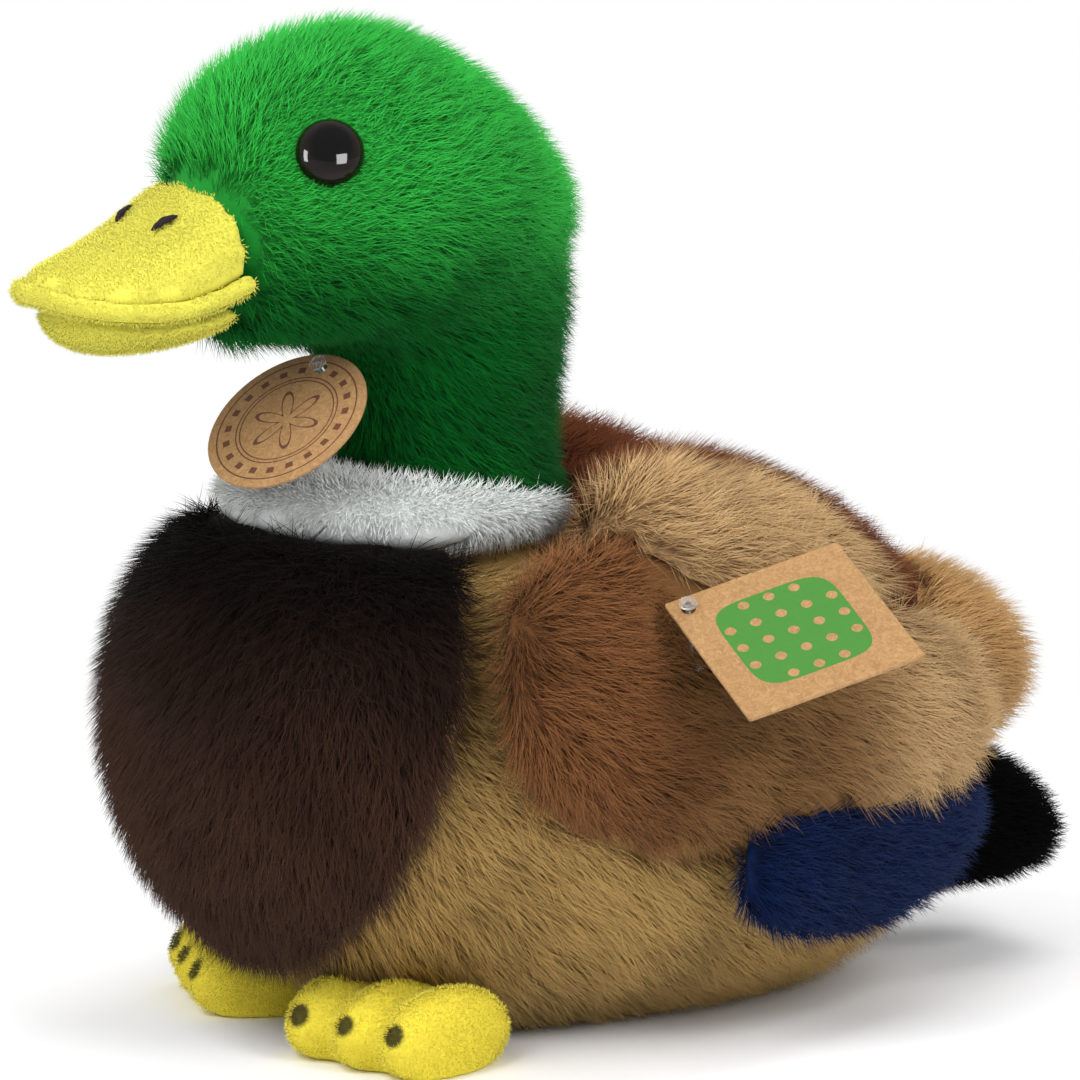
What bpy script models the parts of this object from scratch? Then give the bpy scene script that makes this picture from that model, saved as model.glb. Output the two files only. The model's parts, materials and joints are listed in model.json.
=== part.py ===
"""A seated plush drake as an assembly of stuffed covers, plastic eyes and card tags.

Blender 4.5, metres, +Z up. The beak points along -Y, the drake's left side is +X, and the
origin is on the flat underside of the body, where the toy rests. Every stuffed cover is one
closed lobe with its filling. Smaller lobes are cut by the larger ones that they are sewn to.
"""

import itertools
import math
from dataclasses import dataclass, replace

import bmesh
import bpy
from mathutils import Euler, Matrix, Vector

# General clearances and mesh fineness
FIT_GAP = 0.0003
OVERRUN = 0.004
MERGE_DISTANCE = 0.00001
RING_POINTS = 8
ROUND_SIDES = 24

# Body: flank and belly cover
BODY_WIDTH = 0.102
BODY_LENGTH = 0.146
BODY_HEIGHT = 0.100
BODY_SETBACK = 0.007
GROUND_FLAT = 0.0012

# Breast: front cover, sewn to the body along a leaning seam
BREAST_WIDTH = 0.099
BREAST_LENGTH = 0.066
BREAST_HEIGHT = 0.096
SEAM_LEAN = math.radians(20.0)

# Back, rump and tail
BACK_WIDTH = 0.050
BACK_LENGTH = 0.088
BACK_HEIGHT = 0.026
BACK_PITCH = math.radians(-19.0)
RUMP_WIDTH = 0.058
RUMP_LENGTH = 0.062
RUMP_HEIGHT = 0.044
TAIL_WIDTH = 0.044
TAIL_LENGTH = 0.052
TAIL_HEIGHT = 0.033

# Neck, collar and head
NECK_WIDTH = 0.046
NECK_DEPTH = 0.052
NECK_HEIGHT = 0.082
COLLAR_WIDTH = 0.064
COLLAR_DEPTH = 0.072
COLLAR_HEIGHT = 0.017
COLLAR_PITCH = math.radians(86.0)
HEAD_WIDTH = 0.065
HEAD_LENGTH = 0.077
HEAD_HEIGHT = 0.0635

# Beak
BEAK_WIDTH = 0.041
BEAK_LENGTH = 0.046
BEAK_HEIGHT = 0.0275
LOWER_BEAK_WIDTH = 0.035
LOWER_BEAK_LENGTH = 0.043
LOWER_BEAK_HEIGHT = 0.012
RIM_RADIUS = 0.0025
NOSTRIL_LENGTH = 0.0056
NOSTRIL_WIDTH = 0.0020
NOSTRIL_RISE = 0.0010
NOSTRIL_TILT = math.radians(-20.0)

# Eyes: plastic domes with shanks, held by washers behind the cover
EYE_RADIUS = 0.0064
EYE_DOME = 0.0048
EYE_FLANGE = 0.0008
EYE_SINK = 0.0027
SHANK_RADIUS = 0.0016
SHANK_LENGTH = 0.0110
WASHER_RADIUS = 0.0055
WASHER_THICKNESS = 0.0012
WASHER_DEPTH = 0.0050

# Wings and the blue lobes under them
WING_SIDE_WIDTH = 0.029
WING_SIDE_LENGTH = 0.124
WING_SIDE_HEIGHT = 0.060
WING_SIDE_TURN = (math.radians(-9.0), math.radians(-14.0), math.radians(11.0))
WING_TOP_WIDTH = 0.047
WING_TOP_LENGTH = 0.086
WING_TOP_HEIGHT = 0.036
WING_TOP_TURN = (math.radians(-19.0), math.radians(30.0), math.radians(7.0))
SPECULUM_WIDTH = 0.015
SPECULUM_LENGTH = 0.080
SPECULUM_HEIGHT = 0.038
SPECULUM_TURN = (math.radians(6.0), math.radians(-8.0), math.radians(22.0))

# Feet: three toes side by side
FOOT_WIDTH = 0.038
FOOT_LENGTH = 0.037
FOOT_HEIGHT = 0.019
FOOT_YAW = math.radians(18.0)

# Pellet bag in the bottom of the body
BAG_WIDTH = 0.056
BAG_LENGTH = 0.088
BAG_HEIGHT = 0.022

# Card tags and the plastic pins that hold them
ROUND_TAG_RADIUS = 0.0165
SQUARE_TAG_WIDTH = 0.0360
SQUARE_TAG_HEIGHT = 0.0360
TAG_THICKNESS = 0.0007
TAG_EDGE = 0.0001
TAG_HOLE_RADIUS = 0.0013
TAG_HOLE_INSET = 0.0034
PIN_RADIUS = 0.0005
PIN_HEAD_RADIUS = 0.0017
PIN_HEAD_THICKNESS = 0.0005
PIN_HEAD_LIFT = 0.0018
PIN_BAR_RADIUS = 0.0006
PIN_BAR_LENGTH = 0.0070
PIN_DEPTH = 0.0120
TAG_LIFT = 0.0023

# Rings of each lobe, front to rear: place along it, half width, top, widest line, bottom.
# Every figure is a share of the lobe's length, width or height.
BODY_SHARES = (
    (0.00, 0.20, 0.29, 0.04, -0.21),
    (0.07, 0.37, 0.44, 0.04, -0.38),
    (0.21, 0.47, 0.50, 0.02, -0.50),
    (0.40, 0.51, 0.51, -0.02, -0.53),
    (0.60, 0.51, 0.46, -0.05, -0.53),
    (0.80, 0.44, 0.35, -0.07, -0.50),
    (0.93, 0.33, 0.22, -0.09, -0.43),
    (1.00, 0.16, 0.08, -0.10, -0.28),
)
BREAST_SHARES = (
    (0.00, 0.13, 0.18, 0.02, -0.14),
    (0.06, 0.28, 0.31, 0.02, -0.27),
    (0.21, 0.43, 0.45, 0.01, -0.41),
    (0.44, 0.51, 0.51, 0.00, -0.50),
    (0.70, 0.53, 0.53, 0.00, -0.53),
    (1.00, 0.53, 0.52, 0.00, -0.54),
)
BACK_SHARES = (
    (0.00, 0.22, 0.26, 0.00, -0.26),
    (0.12, 0.42, 0.44, 0.00, -0.44),
    (0.50, 0.50, 0.50, 0.00, -0.50),
    (0.86, 0.44, 0.40, 0.00, -0.44),
    (1.00, 0.24, 0.22, 0.00, -0.26),
)
RUMP_SHARES = (
    (0.00, 0.38, 0.40, 0.00, -0.44),
    (0.30, 0.49, 0.46, 0.00, -0.50),
    (0.62, 0.51, 0.44, 0.00, -0.50),
    (0.88, 0.45, 0.34, -0.03, -0.44),
    (1.00, 0.26, 0.14, -0.06, -0.26),
)
TAIL_SHARES = (
    (0.00, 0.36, 0.46, 0.00, -0.42),
    (0.33, 0.49, 0.50, 0.00, -0.50),
    (0.68, 0.50, 0.44, -0.04, -0.50),
    (0.91, 0.39, 0.20, -0.14, -0.45),
    (1.00, 0.20, -0.04, -0.18, -0.34),
)
NECK_SHARES = (
    (0.00, 0.52, 0.53, 0.00, -0.52),
    (0.16, 0.49, 0.47, 0.00, -0.49),
    (0.34, 0.47, 0.43, 0.00, -0.47),
    (0.50, 0.49, 0.44, 0.00, -0.49),
    (0.70, 0.54, 0.48, 0.00, -0.56),
    (0.87, 0.52, 0.46, 0.00, -0.45),
    (1.00, 0.36, 0.32, 0.00, -0.26),
)
COLLAR_SHARES = (
    (0.00, 0.36, 0.36, 0.00, -0.36),
    (0.22, 0.48, 0.48, 0.00, -0.48),
    (0.55, 0.51, 0.51, 0.00, -0.51),
    (0.84, 0.44, 0.44, 0.00, -0.44),
    (1.00, 0.34, 0.34, 0.00, -0.34),
)
HEAD_SHARES = (
    (0.00, 0.24, 0.22, -0.06, -0.36),
    (0.08, 0.38, 0.37, -0.04, -0.44),
    (0.26, 0.49, 0.49, -0.02, -0.43),
    (0.48, 0.53, 0.54, -0.02, -0.51),
    (0.71, 0.49, 0.44, 0.00, -0.50),
    (0.91, 0.36, 0.22, -0.04, -0.36),
    (1.00, 0.22, 0.06, -0.06, -0.22),
)
BEAK_SHARES = (
    (0.00, 0.17, 0.16, 0.11, 0.05),
    (0.05, 0.33, 0.22, 0.09, 0.01),
    (0.20, 0.47, 0.29, 0.06, -0.02),
    (0.40, 0.52, 0.45, 0.08, -0.02),
    (0.58, 0.50, 0.69, 0.20, 0.02),
    (0.76, 0.47, 0.92, 0.42, 0.08),
    (1.00, 0.44, 1.03, 0.56, 0.14),
)
# The rolled lip's route on the left side, from the corner of the mouth to the tip: place along
# the upper beak, half width and height
RIM_SHARES = (
    (1.00, 0.380, 0.26),
    (0.76, 0.450, 0.18),
    (0.58, 0.475, 0.08),
    (0.40, 0.495, 0.02),
    (0.20, 0.450, 0.02),
    (0.05, 0.310, 0.05),
    (0.00, 0.000, 0.07),
)
LOWER_BEAK_SHARES = (
    (0.00, 0.22, 0.54, 0.42, 0.10),
    (0.10, 0.40, 0.54, 0.34, -0.20),
    (0.34, 0.52, 0.54, 0.30, -0.24),
    (0.60, 0.51, 0.60, 0.34, -0.06),
    (0.84, 0.38, 0.70, 0.50, 0.25),
    (1.00, 0.24, 0.78, 0.60, 0.40),
)
WING_SIDE_SHARES = (
    (0.00, 0.22, 0.20, 0.00, -0.20),
    (0.06, 0.38, 0.36, 0.00, -0.36),
    (0.22, 0.52, 0.51, 0.00, -0.50),
    (0.45, 0.53, 0.50, 0.00, -0.53),
    (0.70, 0.45, 0.42, 0.00, -0.44),
    (0.90, 0.33, 0.29, 0.00, -0.32),
    (1.00, 0.18, 0.14, 0.00, -0.16),
)
WING_TOP_SHARES = (
    (0.00, 0.16, 0.20, 0.00, -0.20),
    (0.09, 0.34, 0.40, 0.00, -0.38),
    (0.28, 0.50, 0.52, 0.00, -0.50),
    (0.52, 0.50, 0.50, 0.00, -0.50),
    (0.78, 0.40, 0.40, 0.00, -0.42),
    (0.94, 0.26, 0.26, 0.00, -0.28),
    (1.00, 0.14, 0.14, 0.00, -0.16),
)
SPECULUM_SHARES = (
    (0.00, 0.20, 0.20, 0.00, -0.08),
    (0.12, 0.38, 0.38, 0.00, -0.30),
    (0.40, 0.50, 0.50, 0.00, -0.48),
    (0.68, 0.50, 0.52, 0.00, -0.50),
    (0.92, 0.40, 0.44, 0.00, -0.36),
    (1.00, 0.22, 0.26, 0.00, -0.16),
)
# These rings run from the inner toe to the outer one: a toe, a dip, a toe, a dip, a toe.
FOOT_SHARES = (
    (0.00, 0.24, 0.16, -0.10, -0.44),
    (0.08, 0.41, 0.38, -0.10, -0.56),
    (0.22, 0.46, 0.46, -0.10, -0.58),
    (0.35, 0.27, 0.16, -0.10, -0.58),
    (0.50, 0.54, 0.52, -0.10, -0.58),
    (0.65, 0.27, 0.16, -0.10, -0.58),
    (0.78, 0.46, 0.46, -0.10, -0.58),
    (0.92, 0.41, 0.38, -0.10, -0.56),
    (1.00, 0.24, 0.16, -0.10, -0.44),
)
BAG_SHARES = (
    (0.00, 0.14, 0.44, 0.24, 0.06),
    (0.20, 0.26, 0.48, 0.14, -0.20),
    (0.42, 0.50, 0.50, -0.04, -0.50),
    (0.70, 0.48, 0.46, -0.06, -0.50),
    (1.00, 0.26, 0.16, -0.10, -0.34),
)

# Places of the lobes, as shares of the width, length and height of the lobe that carries them
BREAST_PLACE_SHARE = (0.0, -0.410, 0.100)
SEAM_PLACE_SHARE = (0.0, -0.372, 0.120)
BACK_PLACE_SHARE = (0.0, 0.240, 0.345)
RUMP_PLACE_SHARE = (0.0, 0.452, 0.135)
TAIL_PLACE_SHARE = (0.0, 0.287, -0.770)
NECK_PLACE_SHARE = (0.0, 0.438, 0.719)
COLLAR_PLACE_SHARE = (0.0, -0.315, 0.160)
HEAD_PLACE_SHARE = (0.0, 0.405, 0.275)
NECK_SPLIT_SHARE = -0.125
WING_SIDE_PLACE_SHARE = (0.420, 0.092, 0.175)
WING_TOP_PLACE_SHARE = (0.300, 0.140, 0.395)
WING_HINGE_SHARE = (0.103, 0.185, 0.562)
SPECULUM_PLACE_SHARE = (0.05, 0.208, -0.470)
BEAK_PLACE_SHARE = (0.0, -0.583, -0.268)
BEAK_CORNER_SHARE = 1.13
LOWER_BEAK_PLACE_SHARE = (0.0, 0.011, -0.250)
NOSTRIL_PLACE_SHARE = (0.20, -0.035)
EYE_PLACE_SHARE = (0.385, -0.262, 0.185)
FOOT_PLACE_SHARE = (0.279, -0.373, -0.405)
BAG_PLACE_SHARE = (0.0, -0.195, -0.29)
ROUND_TAG_PLACE_SHARE = (0.178, -0.298, -0.635)
ROUND_TAG_NORMAL_SHARE = (0.23, -0.62, 0.75)
SQUARE_TAG_PLACE_SHARE = (1.199, -0.147, 0.127)
SQUARE_TAG_NORMAL_SHARE = (0.415, -0.315, 0.852)
SQUARE_TAG_RISE_SHARE = (0.168, 0.948, 0.269)
CARD_GRID_SHARES = (-0.5, -0.25, 0.0, 0.25, 0.5)


@dataclass(frozen=True)
class Lobe:
    """A stuffed cover: its size, the place and turn of its centre, and its rings."""

    name: str
    width: float
    length: float
    height: float
    rings: tuple
    centre: Vector
    turn: tuple = (0.0, 0.0, 0.0)
    levels: int = 1
    corner_share: float = 1.0

    def frame(self):
        """The lobe's place and turn as a matrix."""
        return Matrix.Translation(self.centre) @ Euler(self.turn).to_matrix().to_4x4()

    def at(self, shares):
        """The point at these shares of the lobe's width, length and height."""
        x_share, y_share, z_share = shares
        local = Vector((x_share * self.width, y_share * self.length, z_share * self.height))
        return self.frame() @ local


def mirrored(lobe):
    """The same lobe on the drake's right side."""
    x, y, z = lobe.centre
    pitch, roll, yaw = lobe.turn
    name = lobe.name.replace("left_", "right_")
    return replace(lobe, name=name, centre=Vector((-x, y, z)), turn=(pitch, -roll, -yaw))


def clear_scene():
    """Empties the scene and makes the two collections."""
    for old in list(bpy.data.objects):
        bpy.data.objects.remove(old)
    for name in ("PlushDuck", "Cutters"):
        group = bpy.data.collections.new(name)
        bpy.context.scene.collection.children.link(group)


def put_in(obj, group_name):
    """Moves an object to one collection and hides a cutter from the render."""
    for group in list(obj.users_collection):
        group.objects.unlink(obj)
    bpy.data.collections[group_name].objects.link(obj)
    if group_name == "Cutters":
        obj.hide_render = True
        obj.display_type = "WIRE"
    return obj


def material(name, colour, roughness, metallic=0.0):
    """A Principled material with one colour."""
    made = bpy.data.materials.new(name)
    made.use_nodes = True
    shader = made.node_tree.nodes["Principled BSDF"]
    shader.inputs["Base Color"].default_value = (*colour, 1.0)
    shader.inputs["Roughness"].default_value = roughness
    shader.inputs["Metallic"].default_value = metallic
    return made


def dress(obj, colour, roughness=0.9):
    """Gives an object a material of its own and smooth faces."""
    obj.data.materials.clear()
    obj.data.materials.append(material(obj.name, colour, roughness))
    return obj


def cage_mesh(lobe):
    """The coarse cage of a lobe: rings joined by faces and closed by a face at each end."""
    fullness = (2.0 + math.cos(2.0 * math.pi / RING_POINTS)) / 3.0
    cage = bmesh.new()
    rows = []
    for along, half_width, top, waist, bottom in lobe.rings:
        row = []
        for index in range(RING_POINTS):
            angle = 2.0 * math.pi * index / RING_POINTS
            reach = (top - waist) if math.sin(angle) > 0.0 else (waist - bottom)
            spread = (lobe.corner_share if index % 2 else 1.0) / fullness
            x = half_width * lobe.width * math.cos(angle) * spread
            z = (waist + reach * math.sin(angle) * spread) * lobe.height
            row.append(cage.verts.new((x, (along - 0.5) * lobe.length, z)))
        rows.append(row)
    for front, rear in zip(rows, rows[1:]):
        for index in range(RING_POINTS):
            after = (index + 1) % RING_POINTS
            cage.faces.new((front[index], front[after], rear[after], rear[index]))
    cage.faces.new(rows[0])
    cage.faces.new(rows[-1])
    bmesh.ops.recalc_face_normals(cage, faces=cage.faces)
    mesh = bpy.data.meshes.new(lobe.name)
    cage.to_mesh(mesh)
    cage.free()
    mesh.shade_smooth()
    return mesh


def lobe_object(lobe, name, group_name):
    """A lobe as an object: its cage with a Subdivision Surface."""
    obj = bpy.data.objects.new(name, cage_mesh(lobe))
    bpy.data.collections[group_name].objects.link(obj)
    put_in(obj, group_name)
    obj.matrix_world = lobe.frame()
    smooth = obj.modifiers.new("Stuffing", "SUBSURF")
    smooth.levels = lobe.levels
    smooth.render_levels = lobe.levels
    return obj


def swollen(obj, gap=FIT_GAP):
    """Adds the sewing clearance to a cutter."""
    swell = obj.modifiers.new("Clearance", "DISPLACE")
    swell.direction = "NORMAL"
    swell.mid_level = 0.0
    swell.strength = gap
    return obj


def lobe_cutter(lobe, gap=FIT_GAP):
    """A lobe's outer form with clearance, made once for each lobe and gap."""
    name = f"{lobe.name}_form_{round(gap / FIT_GAP)}"
    found = bpy.data.objects.get(name)
    if found:
        return found
    obj = lobe_object(lobe, name, "Cutters")
    return swollen(obj, gap) if gap else obj


def combine(target, other, operation):
    """Adds a live Boolean modifier."""
    step = target.modifiers.new(f"{operation.title()} {other.name}", "BOOLEAN")
    step.operation = operation
    step.solver = "EXACT"
    step.object = other
    return target


def cut_by(target, *cutters):
    """Takes each cutter out of the target."""
    for cutter in cutters:
        combine(target, cutter, "DIFFERENCE")
    return target


def block(name, point, pitch, side):
    """A large cutter block with one face through the point. Side +1 is ahead of it or above it."""
    reach = BODY_LENGTH + BODY_WIDTH
    bpy.ops.mesh.primitive_cube_add(size=reach)
    obj = put_in(bpy.context.object, "Cutters")
    obj.name = name
    tilt = Matrix.Rotation(pitch, 4, "X")
    centre = point + tilt.to_3x3() @ Vector((0.0, 0.0, side * reach / 2.0))
    obj.matrix_world = Matrix.Translation(centre) @ tilt
    return obj


def turned(name, profile, group_name):
    """A turned solid from its outer profile, top to bottom, as (radius, height)."""
    mesh = bpy.data.meshes.new(name)
    points = [(radius, 0.0, height) for radius, height in profile]
    mesh.from_pydata(points, [(i, i + 1) for i in range(len(points) - 1)], [])
    obj = bpy.data.objects.new(name, mesh)
    bpy.data.collections[group_name].objects.link(obj)
    put_in(obj, group_name)
    screw = obj.modifiers.new("Turning", "SCREW")
    screw.steps = ROUND_SIDES
    screw.render_steps = ROUND_SIDES
    screw.use_merge_vertices = True
    screw.merge_threshold = MERGE_DISTANCE
    return obj


def cylinder(name, radius, depth, frame, group_name):
    """A cylinder primitive with its centre and axis at the frame."""
    bpy.ops.mesh.primitive_cylinder_add(radius=radius, depth=depth, vertices=ROUND_SIDES)
    obj = put_in(bpy.context.object, group_name)
    obj.name = name
    obj.matrix_world = frame
    return obj


def facing(centre, normal, rise):
    """A frame at the centre whose Z is the normal and whose Y lies nearest the rise."""
    z = normal.normalized()
    y = (rise - rise.dot(z) * z).normalized()
    x = y.cross(z)
    return Matrix.Translation(centre) @ Matrix((x, y, z)).transposed().to_4x4()


def hinge_empty(name, point):
    """An empty on a joint's axis, which carries the pieces that move on it."""
    empty = bpy.data.objects.new(name, None)
    bpy.data.collections["PlushDuck"].objects.link(empty)
    empty.location = point
    empty.empty_display_size = EYE_RADIUS
    return empty


def carry(parent, *pieces):
    """Parents pieces to an empty and leaves them where they are."""
    bpy.context.view_layer.update()
    for piece in pieces:
        world = piece.matrix_world.copy()
        piece.parent = parent
        piece.matrix_world = world


def plan_lobes():
    """Places every lobe, each from the sizes of the lobe that carries it."""
    upright = math.radians(90.0)
    body = Lobe("body", BODY_WIDTH, BODY_LENGTH, BODY_HEIGHT, BODY_SHARES,
                Vector((0.0, BODY_SETBACK, BODY_HEIGHT / 2.0 - GROUND_FLAT)), levels=2)
    breast = Lobe("breast", BREAST_WIDTH, BREAST_LENGTH, BREAST_HEIGHT, BREAST_SHARES,
                  body.at(BREAST_PLACE_SHARE), levels=2)
    neck = Lobe("neck", NECK_WIDTH, NECK_HEIGHT, NECK_DEPTH, NECK_SHARES,
                breast.at(NECK_PLACE_SHARE), (upright, 0.0, 0.0))
    head = Lobe("head", HEAD_WIDTH, HEAD_LENGTH, HEAD_HEIGHT, HEAD_SHARES,
                neck.at(HEAD_PLACE_SHARE), levels=2)
    beak = Lobe("upper_beak", BEAK_WIDTH, BEAK_LENGTH, BEAK_HEIGHT, BEAK_SHARES,
                head.at(BEAK_PLACE_SHARE), corner_share=BEAK_CORNER_SHARE)
    wing_side = Lobe("left_wing_side", WING_SIDE_WIDTH, WING_SIDE_LENGTH, WING_SIDE_HEIGHT,
                     WING_SIDE_SHARES, body.at(WING_SIDE_PLACE_SHARE), WING_SIDE_TURN)
    rump = Lobe("rump", RUMP_WIDTH, RUMP_LENGTH, RUMP_HEIGHT, RUMP_SHARES,
                body.at(RUMP_PLACE_SHARE))
    lobes = {
        "body": body,
        "neck": neck,
        "head": head,
        "upper_beak": beak,
        "left_wing_side": wing_side,
        "rump": rump,
        "breast": breast,
        "back_panel": Lobe("back_panel", BACK_WIDTH, BACK_LENGTH, BACK_HEIGHT, BACK_SHARES,
                           body.at(BACK_PLACE_SHARE), (BACK_PITCH, 0.0, 0.0)),
        "tail": Lobe("tail", TAIL_WIDTH, TAIL_LENGTH, TAIL_HEIGHT, TAIL_SHARES,
                     rump.at(TAIL_PLACE_SHARE)),
        "collar": Lobe("collar", COLLAR_WIDTH, COLLAR_HEIGHT, COLLAR_DEPTH, COLLAR_SHARES,
                       neck.at(COLLAR_PLACE_SHARE), (COLLAR_PITCH, 0.0, 0.0)),
        "lower_beak": Lobe("lower_beak", LOWER_BEAK_WIDTH, LOWER_BEAK_LENGTH,
                           LOWER_BEAK_HEIGHT, LOWER_BEAK_SHARES,
                           beak.at(LOWER_BEAK_PLACE_SHARE)),
        "left_wing_top": Lobe("left_wing_top", WING_TOP_WIDTH, WING_TOP_LENGTH,
                              WING_TOP_HEIGHT, WING_TOP_SHARES,
                              body.at(WING_TOP_PLACE_SHARE), WING_TOP_TURN),
        "left_speculum": Lobe("left_speculum", SPECULUM_WIDTH, SPECULUM_LENGTH,
                              SPECULUM_HEIGHT, SPECULUM_SHARES,
                              wing_side.at(SPECULUM_PLACE_SHARE), SPECULUM_TURN),
        "left_foot": Lobe("left_foot", FOOT_LENGTH, FOOT_WIDTH, FOOT_HEIGHT, FOOT_SHARES,
                          body.at(FOOT_PLACE_SHARE), (0.0, 0.0, upright + FOOT_YAW)),
        "pellet_bag": Lobe("pellet_bag", BAG_WIDTH, BAG_LENGTH, BAG_HEIGHT, BAG_SHARES,
                           body.at(BAG_PLACE_SHARE)),
    }
    for name in ("wing_side", "wing_top", "speculum", "foot"):
        lobes[f"right_{name}"] = mirrored(lobes[f"left_{name}"])
    return lobes


def seam_blocks(lobes):
    """The blocks on each side of the leaning seam between breast and body."""
    point = lobes["body"].at(SEAM_PLACE_SHARE)
    lean = math.radians(90.0) - SEAM_LEAN
    away = Matrix.Rotation(lean, 3, "X") @ Vector((0.0, 0.0, FIT_GAP / 2.0))
    front = block("ahead_of_seam", point - away, lean, 1.0)
    rear = block("behind_seam", point + away, lean, -1.0)
    return front, rear


def make_trunk(lobes):
    """Body, breast, back, rump, tail and the pellet bag."""
    ground = block("ground", Vector((0.0, 0.0, 0.0)), 0.0, -1.0)
    ahead, behind = seam_blocks(lobes)
    body = lobe_object(lobes["body"], "body", "PlushDuck")
    cut_by(body, ground, ahead, lobe_cutter(lobes["pellet_bag"]))
    dress(body, (0.30, 0.20, 0.10))
    bag = lobe_object(lobes["pellet_bag"], "pellet_bag", "PlushDuck")
    dress(cut_by(bag, ahead), (0.80, 0.80, 0.78))
    breast = lobe_object(lobes["breast"], "breast", "PlushDuck")
    dress(cut_by(breast, behind, ground, lobe_cutter(lobes["collar"])), (0.03, 0.015, 0.01))
    back = lobe_object(lobes["back_panel"], "back_panel", "PlushDuck")
    cut_by(back, lobe_cutter(lobes["body"]), lobe_cutter(lobes["neck"]))
    dress(cut_by(back, lobe_cutter(lobes["collar"])), (0.16, 0.06, 0.03))
    rump = lobe_object(lobes["rump"], "rump", "PlushDuck")
    cut_by(rump, lobe_cutter(lobes["body"]), lobe_cutter(lobes["back_panel"]))
    dress(rump, (0.35, 0.20, 0.10))
    tail = lobe_object(lobes["tail"], "tail", "PlushDuck")
    cut_by(tail, lobe_cutter(lobes["body"]), lobe_cutter(lobes["rump"]))
    dress(tail, (0.008, 0.008, 0.009))


def make_neck(lobes):
    """Neck and collar. The head turns on the neck at a flat split."""
    split = lobes["neck"].at((0.0, 0.0, 0.0)) + Vector((0.0, 0.0, NECK_SPLIT_SHARE * NECK_HEIGHT))
    above = block("above_neck_split", split - Vector((0.0, 0.0, FIT_GAP / 2.0)), 0.0, 1.0)
    below = block("below_neck_split", split + Vector((0.0, 0.0, FIT_GAP / 2.0)), 0.0, -1.0)
    neck = lobe_object(lobes["neck"], "neck", "PlushDuck")
    cut_by(neck, above, lobe_cutter(lobes["body"]), lobe_cutter(lobes["breast"]))
    dress(neck, (0.01, 0.22, 0.03))
    collar = lobe_object(lobes["collar"], "collar", "PlushDuck")
    cut_by(collar, lobe_cutter(lobes["body"]), lobe_cutter(lobes["neck"]))
    dress(collar, (0.80, 0.82, 0.80))
    return split, below


def first_hit(lobe, aim, heading):
    """Where a line through the aim first meets a lobe from outside, with the normal, or None."""
    form = lobe_cutter(lobe, 0.0)
    bpy.context.view_layer.update()
    form = form.evaluated_get(bpy.context.evaluated_depsgraph_get())
    into = form.matrix_world.inverted()
    start = aim - heading.normalized() * BODY_LENGTH
    found, point, normal, _face = form.ray_cast(into @ start, into.to_3x3() @ heading)
    if not found:
        return None
    return form.matrix_world @ point, (form.matrix_world.to_3x3() @ normal).normalized()


def eye_frame(head, side):
    """The frame of an eye: its Z leaves the head square to the cover."""
    x_share, y_share, z_share = EYE_PLACE_SHARE
    aim = head.at((side * x_share, y_share, z_share))
    surface, normal = first_hit(head, aim, head.centre - aim)
    return facing(surface - EYE_SINK * normal, normal, Vector((0.0, 0.0, 1.0)))


def eye_profile():
    """Dome, flange and shank of an eye, from the top of the dome down."""
    arc_steps = 5
    profile = []
    for step in range(arc_steps + 1):
        angle = math.pi / 2.0 * step / arc_steps
        profile.append((EYE_RADIUS * math.sin(angle), EYE_DOME * math.cos(angle)))
    profile.append((EYE_RADIUS, -EYE_FLANGE))
    profile.append((SHANK_RADIUS, -EYE_FLANGE))
    profile.append((SHANK_RADIUS, -SHANK_LENGTH))
    profile.append((0.0, -SHANK_LENGTH))
    return profile


def make_eye(head, side):
    """One eye with its locking washer. Returns both and their clearance cutters."""
    hand = "left" if side > 0 else "right"
    frame = eye_frame(head, side)
    eye = turned(f"{hand}_eye", eye_profile(), "PlushDuck")
    eye_room = swollen(turned(f"{hand}_eye_room", eye_profile(), "Cutters"))
    for obj in (eye, eye_room):
        obj.matrix_world = frame
    depth = WASHER_DEPTH + WASHER_THICKNESS / 2.0
    place = frame @ Matrix.Translation((0.0, 0.0, -depth))
    washer = cylinder(f"{hand}_eye_washer", WASHER_RADIUS, WASHER_THICKNESS, place, "PlushDuck")
    bore = cylinder(f"{hand}_washer_bore", SHANK_RADIUS + FIT_GAP, OVERRUN, place, "Cutters")
    cut_by(washer, bore)
    washer_room = cylinder(f"{hand}_washer_room", WASHER_RADIUS + FIT_GAP,
                           WASHER_THICKNESS + 2.0 * FIT_GAP, place, "Cutters")
    dress(eye, (0.01, 0.008, 0.007), 0.08)
    dress(washer, (0.85, 0.85, 0.83), 0.5)
    return (eye, washer), (eye_room, washer_room)


def make_head(lobes, below_split):
    """Head cover with the upper neck, beak pieces, nostrils and eyes."""
    lobe = lobes["head"]
    head = lobe_object(lobe, "head", "PlushDuck")
    combine(head, lobe_cutter(lobes["neck"], 0.0), "UNION")
    cut_by(head, below_split)
    pieces = [head]
    for side in (1.0, -1.0):
        made, rooms = make_eye(lobe, side)
        cut_by(head, *rooms)
        pieces.extend(made)
    dress(head, (0.01, 0.22, 0.03))
    yellow = (0.85, 0.75, 0.08)
    upper = lobe_object(lobes["upper_beak"], "upper_beak", "PlushDuck")
    dress(cut_by(upper, lobe_cutter(lobe)), yellow)
    rim = make_rim(lobes["upper_beak"])
    rim_room = swollen(rim.copy())
    rim_room.name = "beak_rim_form"
    bpy.data.collections["Cutters"].objects.link(rim_room)
    put_in(rim_room, "Cutters")
    dress(cut_by(rim, lobe_cutter(lobe), lobe_cutter(lobes["upper_beak"])), yellow)
    lower = lobe_object(lobes["lower_beak"], "lower_beak", "PlushDuck")
    cut_by(lower, lobe_cutter(lobe), lobe_cutter(lobes["upper_beak"]), rim_room)
    dress(lower, yellow)
    nostrils = [make_nostril(lobes["upper_beak"], side) for side in (1.0, -1.0)]
    return pieces + [upper, rim, lower, *nostrils]


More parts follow.
